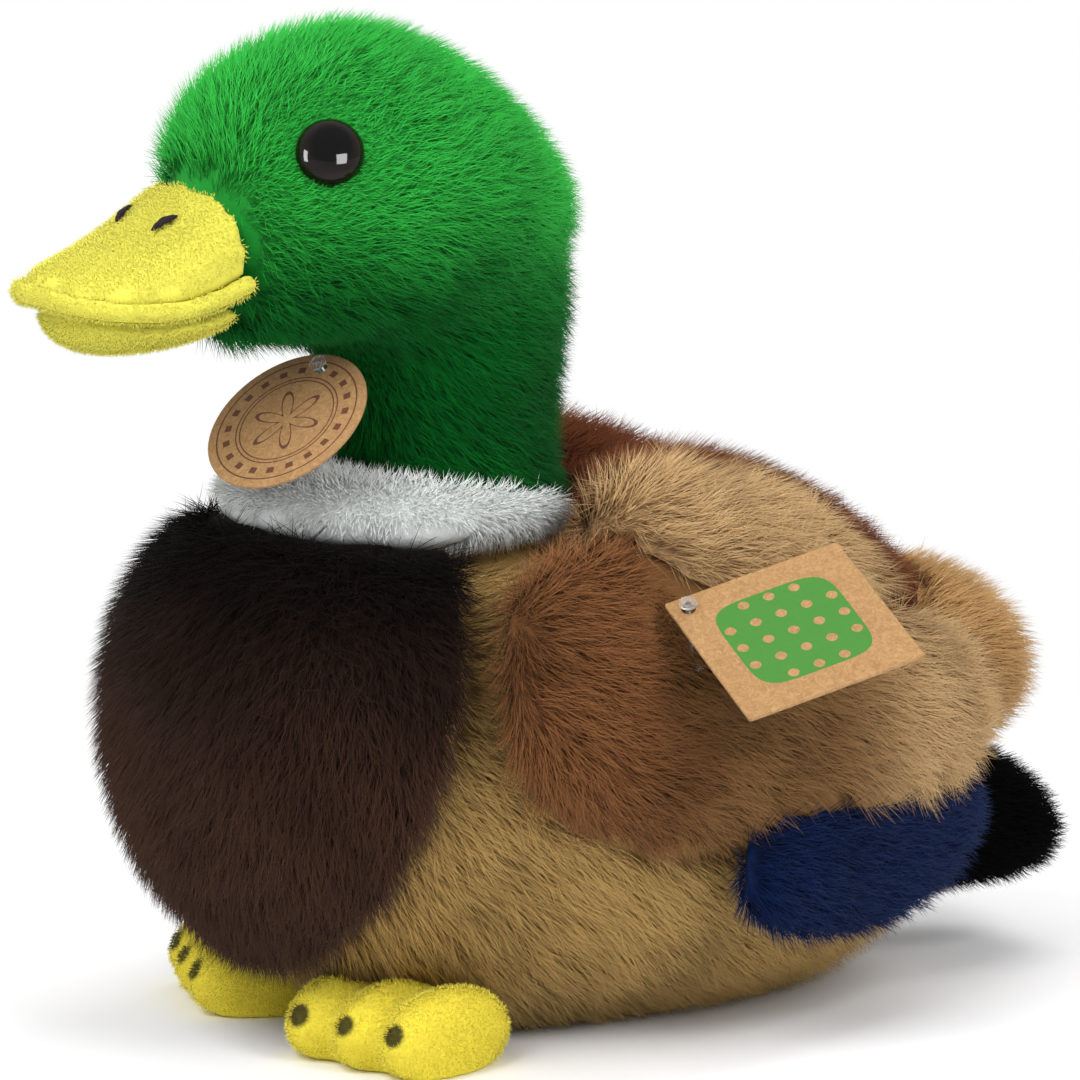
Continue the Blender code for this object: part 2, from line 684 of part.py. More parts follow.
def make_rim(beak):
    """The rolled lip: a tube along the outline of the upper beak, as a mesh."""
    near_side = [beak.at((half_width, along - 0.5, rise)) for along, half_width, rise in RIM_SHARES]
    far_side = [Vector((-p.x, p.y, p.z)) for p in reversed(near_side[:-1])]
    route = near_side + far_side
    curve = bpy.data.curves.new("beak_rim", "CURVE")
    curve.dimensions = "3D"
    curve.bevel_depth = RIM_RADIUS
    curve.bevel_resolution = 1
    curve.resolution_u = 2
    curve.use_fill_caps = True
    spline = curve.splines.new("BEZIER")
    spline.bezier_points.add(len(route) - 1)
    for knot, point in zip(spline.bezier_points, route):
        knot.co = point
        knot.handle_left_type = "AUTO"
        knot.handle_right_type = "AUTO"
    guide = bpy.data.objects.new("beak_rim_route", curve)
    bpy.data.collections["Cutters"].objects.link(guide)
    bpy.context.view_layer.update()
    solid = bpy.data.meshes.new_from_object(guide.evaluated_get(bpy.context.evaluated_depsgraph_get()))
    bpy.data.objects.remove(guide)
    welded = bmesh.new()
    welded.from_mesh(solid)
    bmesh.ops.remove_doubles(welded, verts=welded.verts, dist=MERGE_DISTANCE)
    bmesh.ops.recalc_face_normals(welded, faces=welded.faces)
    welded.to_mesh(solid)
    welded.free()
    rim = bpy.data.objects.new("beak_rim", solid)
    bpy.data.collections["PlushDuck"].objects.link(rim)
    return rim


def make_nostril(beak, side):
    """An embroidered dash that lies on the upper beak."""
    hand = "left" if side > 0 else "right"
    x_share, y_share = NOSTRIL_PLACE_SHARE
    surface, normal = first_hit(beak, beak.at((side * x_share, y_share, 1.0)),
                                Vector((0.0, 0.0, -1.0)))
    bpy.ops.mesh.primitive_uv_sphere_add(segments=12, ring_count=6)
    dash = put_in(bpy.context.object, "PlushDuck")
    dash.name = f"{hand}_nostril"
    frame = facing(surface, normal, Vector((0.0, -1.0, 0.0)))
    size = Matrix.Diagonal((NOSTRIL_WIDTH / 2.0, NOSTRIL_LENGTH / 2.0, NOSTRIL_RISE, 1.0))
    dash.data.transform(Matrix.Rotation(side * NOSTRIL_TILT, 4, "Z") @ size)
    dash.matrix_world = frame
    return dress(cut_by(dash, lobe_cutter(beak)), (0.03, 0.02, 0.015))


def make_wing(lobes, hand):
    """Upper and side lobe of one wing, and the blue lobe under them."""
    carriers = [lobe_cutter(lobes[name]) for name in ("body", "breast", "back_panel", "rump")]
    around = [lobe_cutter(lobes[name]) for name in ("neck", "collar")]
    side_lobe = lobe_object(lobes[f"{hand}_wing_side"], f"{hand}_wing_side", "PlushDuck")
    dress(cut_by(side_lobe, *carriers, *around), (0.25, 0.10, 0.045))
    top = lobe_object(lobes[f"{hand}_wing_top"], f"{hand}_wing_top", "PlushDuck")
    side_form = lobe_cutter(lobes[f"{hand}_wing_side"])
    dress(cut_by(top, *carriers, *around, side_form), (0.50, 0.32, 0.15))
    blue = lobe_object(lobes[f"{hand}_speculum"], f"{hand}_speculum", "PlushDuck")
    others = [lobe_cutter(lobes[name]) for name in ("body", "rump", "tail")]
    dress(cut_by(blue, side_form, *others), (0.01, 0.05, 0.20))
    return [side_lobe, top, blue]


def make_foot(lobes, hand):
    """A foot with three toes, flat underneath and sewn under the body."""
    foot = lobe_object(lobes[f"{hand}_foot"], f"{hand}_foot", "PlushDuck")
    cut_by(foot, bpy.data.objects["ground"])
    cut_by(foot, lobe_cutter(lobes["body"]), lobe_cutter(lobes["breast"]))
    return dress(foot, (0.85, 0.75, 0.08))


def make_pin(name, hole, normal, wearers):
    """A plastic pin: head, stem and bar. It holds a card and is buried in its wearers."""
    frame = facing(hole, normal, Vector((0.0, 1.0, 0.0)))
    stem_length = PIN_HEAD_LIFT + PIN_DEPTH
    stem_place = frame @ Matrix.Translation((0.0, 0.0, PIN_HEAD_LIFT - stem_length / 2.0))
    head_place = frame @ Matrix.Translation((0.0, 0.0, PIN_HEAD_LIFT))
    sideways = Matrix.Rotation(math.radians(90.0), 4, "Y")
    bar_place = frame @ Matrix.Translation((0.0, 0.0, -PIN_DEPTH)) @ sideways
    shapes = (
        ("head", PIN_HEAD_RADIUS, PIN_HEAD_THICKNESS, head_place),
        ("bar", PIN_BAR_RADIUS, PIN_BAR_LENGTH, bar_place),
    )
    pin = cylinder(name, PIN_RADIUS, stem_length, stem_place, "PlushDuck")
    room = swollen(cylinder(f"{name}_room", PIN_RADIUS, stem_length, stem_place, "Cutters"))
    for wearer in wearers:
        cut_by(wearer, room)
    for label, radius, depth, place in shapes:
        combine(pin, cylinder(f"{name}_{label}", radius, depth, place, "Cutters"), "UNION")
        grown = swollen(cylinder(f"{name}_{label}_room", radius, depth, place, "Cutters"))
        for wearer in wearers:
            cut_by(wearer, grown)
    return dress(pin, (0.85, 0.85, 0.85), 0.3)


def finish_card(card, hole):
    """Punches the hole of a card and eases its edges."""
    cut_by(card, hole)
    ease = card.modifiers.new("Edges", "BEVEL")
    ease.width = TAG_EDGE
    ease.segments = 1
    return dress(card, (0.55, 0.33, 0.14), 0.8)


def make_round_tag(lobes):
    """The round card, hung under the chin by its upper edge."""
    centre = lobes["head"].at(ROUND_TAG_PLACE_SHARE)
    frame = facing(centre, Vector(ROUND_TAG_NORMAL_SHARE), Vector((0.0, 0.0, 1.0)))
    hole_place = frame @ Matrix.Translation((0.0, ROUND_TAG_RADIUS - TAG_HOLE_INSET, 0.0))
    card = cylinder("round_tag", ROUND_TAG_RADIUS, TAG_THICKNESS, frame, "PlushDuck")
    move_origin(card, hole_place)
    hole = cylinder("round_tag_hole", TAG_HOLE_RADIUS, OVERRUN, hole_place, "Cutters")
    finish_card(card, hole)
    return card, hole_place


def rested(frame, carriers):
    """Slides the square card along its normal until it just clears the lobes under it."""
    normal = frame.to_3x3().col[2]
    rises = []
    for lobe in carriers:
        for x_share, y_share in itertools.product(CARD_GRID_SHARES, repeat=2):
            aim = frame @ Vector((x_share * SQUARE_TAG_HEIGHT, y_share * SQUARE_TAG_WIDTH, 0.0))
            hit = first_hit(lobe, aim, -normal)
            if hit:
                rises.append((hit[0] - aim).dot(normal))
    return Matrix.Translation(normal * (max(rises) + TAG_LIFT)) @ frame


def make_square_tag(lobes):
    """The square card, held at one corner on the left wing."""
    wing = lobes["left_wing_side"]
    frame = facing(wing.at(SQUARE_TAG_PLACE_SHARE), Vector(SQUARE_TAG_NORMAL_SHARE),
                   Vector(SQUARE_TAG_RISE_SHARE))
    frame = rested(frame, (wing, lobes["left_wing_top"]))
    corner = Vector((-(SQUARE_TAG_HEIGHT / 2.0 - TAG_HOLE_INSET),
                     -(SQUARE_TAG_WIDTH / 2.0 - TAG_HOLE_INSET), 0.0))
    hole_place = frame @ Matrix.Translation(corner)
    bpy.ops.mesh.primitive_cube_add(size=1.0)
    card = put_in(bpy.context.object, "PlushDuck")
    card.name = "square_tag"
    card.data.transform(Matrix.Diagonal((SQUARE_TAG_HEIGHT, SQUARE_TAG_WIDTH, TAG_THICKNESS, 1.0)))
    card.matrix_world = frame
    move_origin(card, hole_place)
    hole = cylinder("square_tag_hole", TAG_HOLE_RADIUS, OVERRUN, hole_place, "Cutters")
    finish_card(card, hole)
    return card, hole_place


def move_origin(obj, place):
    """Puts an object's origin at a new frame and leaves its shape where it is."""
    bpy.context.view_layer.update()
    obj.data.transform(place.inverted() @ obj.matrix_world)
    obj.matrix_world = place


def build():
    """Makes the whole toy, then hangs each moving group on its joint."""
    clear_scene()
    lobes = plan_lobes()
    make_trunk(lobes)
    split, below = make_neck(lobes)
    head_pieces = make_head(lobes, below)
    wings = {hand: make_wing(lobes, hand) for hand in ("left", "right")}
    for hand in ("left", "right"):
        make_foot(lobes, hand)
    round_tag, round_hole = make_round_tag(lobes)
    square_tag, square_hole = make_square_tag(lobes)
    parts = bpy.data.collections["PlushDuck"].objects
    round_normal = round_hole.to_3x3().col[2]
    square_normal = square_hole.to_3x3().col[2]
    round_pin = make_pin("round_tag_fastener", round_hole.translation, round_normal,
                         [parts["head"]])
    square_pin = make_pin("square_tag_fastener", square_hole.translation, square_normal,
                          [parts["left_wing_side"], parts["left_wing_top"]])
    head_axis = hinge_empty("head_turn_axis", split)
    carry(head_axis, *head_pieces, round_pin, round_tag)
    for hand, side in (("left", 1.0), ("right", -1.0)):
        x_share, y_share, z_share = WING_HINGE_SHARE
        hinge = hinge_empty(f"{hand}_wing_hinge",
                            lobes["body"].at((side * x_share, y_share, z_share)))
        carry(hinge, *wings[hand])
        if hand == "left":
            carry(hinge, square_pin, square_tag)


build()
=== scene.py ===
"""Looks of a seated plush drake: stuffed covers with pile, plastic eyes and card tags.

Every cover follows its solid in the frame. A cover is a smooth cloth form that lies under the
solid's surface, and its pile is made of strands whose tips reach that surface.
"""

import json
import logging
import math
from dataclasses import dataclass, field, replace
from enum import Enum
from typing import Any, Iterable, Sequence

import bmesh
import bpy
import numpy as np
from mathutils import Matrix, Vector
from mathutils.bvhtree import BVHTree

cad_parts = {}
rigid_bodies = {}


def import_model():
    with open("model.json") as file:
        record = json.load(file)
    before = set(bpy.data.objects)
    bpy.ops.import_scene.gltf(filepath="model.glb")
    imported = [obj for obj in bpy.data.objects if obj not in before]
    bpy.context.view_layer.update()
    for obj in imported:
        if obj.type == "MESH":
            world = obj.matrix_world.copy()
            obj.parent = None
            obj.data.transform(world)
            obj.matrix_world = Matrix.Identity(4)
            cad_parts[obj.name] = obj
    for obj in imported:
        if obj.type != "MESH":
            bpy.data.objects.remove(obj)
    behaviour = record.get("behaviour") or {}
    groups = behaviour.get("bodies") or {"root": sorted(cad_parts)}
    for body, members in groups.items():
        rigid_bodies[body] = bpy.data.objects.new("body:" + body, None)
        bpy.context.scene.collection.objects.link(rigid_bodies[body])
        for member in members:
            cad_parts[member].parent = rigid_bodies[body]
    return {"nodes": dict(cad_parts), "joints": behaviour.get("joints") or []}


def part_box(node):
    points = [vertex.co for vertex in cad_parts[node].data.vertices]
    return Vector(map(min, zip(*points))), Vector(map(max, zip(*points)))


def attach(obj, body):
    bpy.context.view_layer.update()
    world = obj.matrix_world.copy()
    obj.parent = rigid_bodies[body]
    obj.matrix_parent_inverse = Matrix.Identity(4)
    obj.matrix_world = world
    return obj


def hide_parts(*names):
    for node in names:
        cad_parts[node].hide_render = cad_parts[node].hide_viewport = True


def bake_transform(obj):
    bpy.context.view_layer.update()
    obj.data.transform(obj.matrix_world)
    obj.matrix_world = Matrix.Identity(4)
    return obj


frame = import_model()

LOG = logging.getLogger("plush_drake")
Colour = tuple[float, float, float]
Point = tuple[float, float, float]

MERGE_DISTANCE = 1e-5
BAKE_MAP = "OFBake"
HIDDEN_REACH = 0.0012
FLOOR_LEVEL = 1e-4
SEAT_STEPS = 6.0
SEAM_STEPS = 12
SETTLE_STEPS = 4
FOOT_CENTRE = (0.0285, -0.0475)
FOOT_YAW = math.radians(18.0)
TOE_SPREAD = 0.0122
TOE_REACH = 0.0105
SPOT_RADIUS = 0.0030


class Lie(Enum):
    """How the strands of a pile lie on the cover."""

    RADIAL = "away from a point"
    STRAIGHT = "all one way"


def linear(red: int, green: int, blue: int) -> Colour:
    """Turns a display colour into the linear colour that shaders take.

    Args:
        red: Red, 0 to 255.
        green: Green, 0 to 255.
        blue: Blue, 0 to 255.

    Returns:
        The linear colour.
    """
    def one(value: int) -> float:
        """Turns one channel."""
        share = value / 255.0
        return share / 12.92 if share <= 0.04045 else ((share + 0.055) / 1.055) ** 2.4
    return one(red), one(green), one(blue)


class NodeBoard:
    """Adds nodes to a tree and links them, with each input given as a value or a socket."""

    def __init__(self, tree: bpy.types.NodeTree) -> None:
        """Keeps the tree.

        Args:
            tree: The shader or geometry tree to fill.
        """
        self.tree = tree

    def add(self, kind: str, values: dict[Any, Any] | None = None, **props: Any) -> bpy.types.Node:
        """Adds one node.

        Args:
            kind: The node's type name.
            values: Input name or number, with a value or a socket to link.
            props: Settings of the node itself.

        Returns:
            The new node.
        """
        node = self.tree.nodes.new(kind)
        for name, value in props.items():
            setattr(node, name, value)
        self.feed(node, values or {})
        return node

    def feed(self, node: bpy.types.Node, values: dict[Any, Any]) -> None:
        """Sets a node's inputs.

        Args:
            node: The node.
            values: Input name or number, with a value or a socket to link.
        """
        for key, value in values.items():
            if isinstance(value, bpy.types.NodeSocket):
                self.tree.links.new(value, node.inputs[key])
            else:
                node.inputs[key].default_value = value

    def math(self, operation: str, *values: Any) -> bpy.types.NodeSocket:
        """Adds a Math node and gives its result."""
        node = self.add("ShaderNodeMath", dict(enumerate(values)), operation=operation)
        return node.outputs[0]

    def vector(self, operation: str, *values: Any) -> bpy.types.NodeSocket:
        """Adds a Vector Math node and gives its vector."""
        node = self.add("ShaderNodeVectorMath", dict(enumerate(values)), operation=operation)
        return node.outputs[0]

    def scaled(self, vector: Any, scale: Any) -> bpy.types.NodeSocket:
        """Multiplies a vector by a number and gives the result."""
        node = self.add("ShaderNodeVectorMath", {0: vector, "Scale": scale}, operation="SCALE")
        return node.outputs[0]

    def mix(self, share: Any, first: Any, second: Any) -> bpy.types.NodeSocket:
        """Mixes two colours by a share and gives the result."""
        node = self.add("ShaderNodeMix", {0: share, 6: first, 7: second}, data_type="RGBA")
        return node.outputs[2]

    def ramp(self, value: Any, low: float, high: float) -> bpy.types.NodeSocket:
        """Maps a value from low..high to 0..1, smoothly, and gives the result."""
        node = self.add("ShaderNodeMapRange", {"Value": value, "From Min": low, "From Max": high},
                        interpolation_type="SMOOTHSTEP")
        return node.outputs[0]


def new_material(name: str) -> tuple[bpy.types.Material, NodeBoard, bpy.types.Node]:
    """Makes an empty Principled material.

    Args:
        name: The material's name.

    Returns:
        The material, a board on its tree, and its Principled node.
    """
    made = bpy.data.materials.new(name)
    made.use_nodes = True
    return made, NodeBoard(made.node_tree), made.node_tree.nodes["Principled BSDF"]


def rgba(colour: Colour) -> tuple[float, float, float, float]:
    """Adds a full alpha to a colour."""
    return (*colour, 1.0)


@dataclass(frozen=True)
class Zone:
    """A zone with colours of its own, which fades in from a first place to a second; on the green
    neck its colours are painted shade.
    """

    root: Colour
    tip: Colour
    heading: Point
    start: float
    end: float


@dataclass(frozen=True)
class Spot:
    """A small round dyed spot."""

    centre: Point
    radius: float


@dataclass(frozen=True)
class PlushFinish:
    """Dyed pile with painted shade: its colour at the roots and tips, with the roots darker partly
    by dye and partly as painted shade deep in the pile, its mottling and its larger zones of dye
    and of painted shade.
    """

    name: str
    root: Colour
    tip: Colour
    streak: float = 0.62
    mottle: float = 0.5
    mottle_scale: float = 60.0
    strand_change: float = 0.30
    sheen: float = 0.03
    roughness: float = 0.65
    zones: tuple[Zone, ...] = ()
    spots: tuple[Spot, ...] = ()
    spot_colour: Colour = (0.02, 0.016, 0.012)

    def material(self, pile: bool) -> bpy.types.Material:
        """Makes the material of the pile, or of the cloth under it.

        Args:
            pile: True for the strands, False for the cloth.

        Returns:
            The finished material.
        """
        made, board, shader = new_material(f"{self.name}_{'pile' if pile else 'cloth'}")
        if pile:
            place = board.add("ShaderNodeAttribute", attribute_name="root").outputs["Vector"]
            along = board.add("ShaderNodeAttribute", attribute_name="along").outputs["Fac"]
            shade = board.add("ShaderNodeAttribute", attribute_name="shade").outputs["Fac"]
        else:
            place = board.add("ShaderNodeTexCoord").outputs["Object"]
            # The cloth takes a colour near the darker root one: painted shade under the pile.
            along, shade = 0.35, 0.5
        root, tip = rgba(self.root), rgba(self.tip)
        for zone in self.zones:
            share = self._share(board, place, zone)
            root = board.mix(share, root, rgba(zone.root))
            tip = board.mix(share, tip, rgba(zone.tip))
        # Roots darker than tips: partly dye, partly painted shade deep in the pile.
        colour = board.mix(along, root, tip)
        cloud = board.add("ShaderNodeTexNoise", {"Vector": place, "Scale": self.mottle_scale,
                                                 "Detail": 3.0, "Roughness": 0.6})
        streaked = board.math("MULTIPLY", board.ramp(cloud.outputs[0], 0.42, 0.68), self.mottle)
        colour = board.mix(streaked, colour, board.scaled(colour, self.streak))
        for spot in self.spots:
            away = board.add("ShaderNodeVectorMath", {0: place, 1: spot.centre},
                             operation="DISTANCE").outputs["Value"]
            inside = board.math("SUBTRACT", 1.0, board.ramp(away, spot.radius * 0.6, spot.radius))
            colour = board.mix(board.math("MULTIPLY", inside, 0.92), colour,
                               rgba(self.spot_colour))
        change = board.math("MULTIPLY", board.math("SUBTRACT", shade, 0.5), self.strand_change)
        tinted = board.scaled(colour, board.math("ADD", change, 1.0))
        board.feed(shader, {"Base Color": tinted, "Roughness": self.roughness,
                            "Sheen Weight": self.sheen, "Sheen Roughness": 0.5,
                            "Specular IOR Level": 0.02})
        if not pile:
            self._nap(board, place, shader)
        return made

    def _share(self, board: NodeBoard, place: Any, zone: Zone) -> Any:
        """How far a zone's colours have faded in along its heading, with a ragged edge.

        Args:
            board: The board to add to.
            place: Where the colour is read.
            zone: The zone.

        Returns:
            The share socket.
        """
        along = board.add("ShaderNodeVectorMath", {0: place, 1: zone.heading},
                          operation="DOT_PRODUCT").outputs["Value"]
        ragged = board.add("ShaderNodeTexNoise", {"Vector": place, "Scale": 45.0, "Detail": 2.0})
        drift = board.math("MULTIPLY", board.math("SUBTRACT", ragged.outputs[0], 0.5), 0.02)
        return board.ramp(board.math("ADD", along, drift), zone.start, zone.end)

    def _nap(self, board: NodeBoard, place: Any, shader: bpy.types.Node) -> None:
        """Gives the cloth a fine fuzzy bump.

        Args:
            board: The board to add to.
            place: Where the pattern is read.
            shader: The Principled node.
        """
        fuzz = board.add("ShaderNodeTexNoise", {"Vector": place, "Scale": 1800.0, "Detail": 2.0})
        bump = board.add("ShaderNodeBump", {"Strength": 0.5, "Distance": 0.0004,
                                            "Height": fuzz.outputs[0]})
        board.feed(shader, {"Normal": bump.outputs[0]})


@dataclass(frozen=True)
class EyeFinish:
    """Glossy black plastic with a dark brown ring round the pupil."""

    centre: Point
    axis: Point
    pupil: float
    name: str
    black: Colour = (0.001, 0.001, 0.001)
    brown_dark: Colour = (0.004, 0.002, 0.002)
    brown_light: Colour = (0.010, 0.005, 0.004)

    def material(self) -> bpy.types.Material:
        """Makes the eye's material: the ring is read from the distance to the eye's axis."""
        made, board, shader = new_material(self.name)
        place = board.add("ShaderNodeTexCoord").outputs["Object"]
        offset = board.vector("SUBTRACT", place, self.centre)
        side = board.add("ShaderNodeVectorMath",
                         {0: board.vector("CROSS_PRODUCT", offset, self.axis)},
                         operation="LENGTH").outputs["Value"]
        ring = board.ramp(side, self.pupil * 0.85, self.pupil * 1.15)
        fleck = board.add("ShaderNodeTexNoise", {"Vector": place, "Scale": 900.0})
        brown = board.mix(fleck.outputs[0], rgba(self.brown_dark), rgba(self.brown_light))
        board.feed(shader, {"Base Color": board.mix(ring, rgba(self.black), brown),
                            "Roughness": 0.07, "Specular IOR Level": 0.22})
        return made


@dataclass(frozen=True)
class PlasticFinish:
    """Moulded plastic with faint mould texture."""

    DULL = 0.82

    name: str
    colour: Colour
    roughness: float
    clear: float = 0.0

    def material(self) -> bpy.types.Material:
        """Makes the plastic's material."""
        made, board, shader = new_material(self.name)
        place = board.add("ShaderNodeTexCoord").outputs["Object"]
        grain = board.add("ShaderNodeTexNoise", {"Vector": place, "Scale": 1200.0, "Detail": 2.0})
        dull = tuple(self.DULL * channel for channel in self.colour)
        colour = board.mix(grain.outputs[0], rgba(dull), rgba(self.colour))
        bump = board.add("ShaderNodeBump", {"Strength": 0.15, "Distance": 0.0002,
                                            "Height": grain.outputs[0]})
        board.feed(shader, {"Base Color": colour, "Normal": bump.outputs[0],
                            "Roughness": self.roughness, "Transmission Weight": self.clear})
        return made


@dataclass(frozen=True)
class ThreadFinish:
    """Dark embroidery thread, or woven cloth in a pale colour."""

    name: str
    dark: Colour
    light: Colour
    pitch: float

    def material(self) -> bpy.types.Material:
        """Makes the thread's material: fine ribs with a bump."""
        made, board, shader = new_material(self.name)
        place = board.add("ShaderNodeTexCoord").outputs["Object"]
        ribs = board.add("ShaderNodeTexWave", {"Vector": place, "Scale": self.pitch,
                                               "Distortion": 2.0, "Detail": 1.0})
        colour = board.mix(ribs.outputs["Fac"], rgba(self.dark), rgba(self.light))
        bump = board.add("ShaderNodeBump", {"Strength": 0.5, "Distance": 0.0003,
                                            "Height": ribs.outputs["Fac"]})
        board.feed(shader, {"Base Color": colour, "Normal": bump.outputs[0], "Roughness": 0.75,
                            "Specular IOR Level": 0.05, "Sheen Weight": 0.05})
        return made


class Print(Enum):
    """The generic printed design of a card."""

    RINGS = "rings and dots in brown"
    PANEL = "a green panel with pale dots"


@dataclass(frozen=True)
class CardFinish:
    """Uncoated kraft card with a printed design, read from the card's own map in metres."""

    INK_COVER = 0.93
    RINGS = ((0.0146, 0.00016), (0.0098, 0.00014), (0.0106, 0.00014))
    DOT_COUNT, DOT_GAP, DOT_BAND = 20.0, 0.35, (0.0126, 0.0007)
    PETALS, PETAL_RISE, PETAL_SIZE, PETAL_LINE = 6.0, 1.6, 0.0028, 0.00045
    PANEL_HALF, PANEL_CORNER = 0.0122, 5.0
    PANEL_DOT_TURNS, PANEL_DOT_LEVEL, PANEL_DOT_REACH = 1200.0, 1.25, 0.0079

    name: str
    design: Print
    size: float
    ink: Colour
    kraft: Colour = linear(184, 146, 100)
    kraft_dark: Colour = linear(148, 110, 70)

    def material(self) -> bpy.types.Material:
        """Makes the card's material with its fibres, flecks and print."""
        made, board, shader = new_material(self.name)
        flat = board.add("ShaderNodeUVMap", uv_map="card").outputs[0]
        place = board.add("ShaderNodeTexCoord").outputs["Object"]
        fibre = board.add("ShaderNodeTexNoise", {"Vector": place, "Scale": 700.0, "Detail": 6.0,
                                                 "Roughness": 0.75, "Distortion": 1.5})
        cloud = board.add("ShaderNodeTexNoise", {"Vector": place, "Scale": 90.0, "Detail": 3.0})
        paper = board.mix(board.ramp(fibre.outputs[0], 0.3, 0.75), rgba(self.kraft_dark),
                          rgba(self.kraft))
        paper = board.mix(board.math("MULTIPLY", board.ramp(cloud.outputs[0], 0.5, 0.8), 0.35),
                          paper, rgba(self.kraft_dark))
        middle = board.vector("SUBTRACT", flat, (0.5, 0.5, 0.0))
        spot = board.scaled(middle, self.size)
        draw = self._rings if self.design is Print.RINGS else self._panel
        worn = board.math("MULTIPLY", draw(board, spot), board.ramp(fibre.outputs[0], 0.12, 0.35))
        colour = board.mix(board.math("MULTIPLY", worn, self.INK_COVER), paper, rgba(self.ink))
        bump = board.add("ShaderNodeBump", {"Strength": 0.25, "Distance": 0.0002,
                                            "Height": fibre.outputs[0]})
        board.feed(shader, {"Base Color": colour, "Normal": bump.outputs[0], "Roughness": 0.8,
                            "Specular IOR Level": 0.2})
        return made

    def _band(self, board: NodeBoard, value: Any, middle: float, half: float) -> Any:
        """Gives 1 where a value is within half of the middle, and 0 elsewhere."""
        off = board.math("ABSOLUTE", board.math("SUBTRACT", value, middle))
        return board.math("LESS_THAN", off, half)

    def _rings(self, board: NodeBoard, spot: Any) -> Any:
        """A thin ring near the edge, a ring of dots, two inner rings and a middle rosette.

        Args:
            board: The board to add to.
            spot: The place on the card, in metres from its centre.

        Returns:
            The share of ink.
        """
        split = board.add("ShaderNodeSeparateXYZ", {0: spot})
        radius = board.add("ShaderNodeVectorMath", {0: spot}, operation="LENGTH").outputs["Value"]
        turn = board.math("ARCTAN2", split.outputs[1], split.outputs[0])
        beads = board.math("COSINE", board.math("MULTIPLY", turn, self.DOT_COUNT))
        ink = board.math("MULTIPLY", board.math("GREATER_THAN", beads, self.DOT_GAP),
                         self._band(board, radius, *self.DOT_BAND))
        for middle, half in self.RINGS:
            ink = board.math("MAXIMUM", ink, self._band(board, radius, middle, half))
        wave = board.math("COSINE", board.math("MULTIPLY", turn, self.PETALS))
        petals = board.math("MULTIPLY", board.math("ADD", wave, self.PETAL_RISE),
                            self.PETAL_SIZE)
        rosette = self._band(board, board.math("SUBTRACT", radius, petals), 0.0,
                             self.PETAL_LINE)
        return board.math("MAXIMUM", ink, rosette)

    def _panel(self, board: NodeBoard, spot: Any) -> Any:
        """A round-cornered square panel with rows of pale dots, but none in its corners.

        Args:
            board: The board to add to.
            spot: The place on the card, in metres from its centre.

        Returns:
            The share of ink.
        """
        split = board.add("ShaderNodeSeparateXYZ", {0: spot})
        across = [split.outputs[0], split.outputs[1]]
        sides = [board.math("POWER", board.math("ABSOLUTE", board.math(
            "DIVIDE", way, self.PANEL_HALF)), self.PANEL_CORNER) for way in across]
        panel = board.math("LESS_THAN", board.math("ADD", *sides), 1.0)
        waves = [board.math("COSINE", board.math("MULTIPLY", way, self.PANEL_DOT_TURNS))
                 for way in across]
        dots = board.math("GREATER_THAN", board.math("ADD", *waves), self.PANEL_DOT_LEVEL)
        corner = board.math("MINIMUM", *(board.math("ABSOLUTE", way) for way in across))
        dots = board.math("MULTIPLY", dots,
                          board.math("LESS_THAN", corner, self.PANEL_DOT_REACH))
        return board.math("MULTIPLY", panel, board.math("SUBTRACT", 1.0, dots))


@dataclass(frozen=True)
class Cut:
    """The size and lie of a pile's strands: along a drift, and perhaps away from a source."""

    length: float
    width: float
    density: float
    drift: Point
    lie: Lie = Lie.STRAIGHT
    source: Point = (0.0, 0.0, 0.0)
    lift: float = 25.0
    bend: float = 1.6
    tangle: float = 0.55
    tuft: float = 0.34
    seed: int = 1
    coats: int = 1


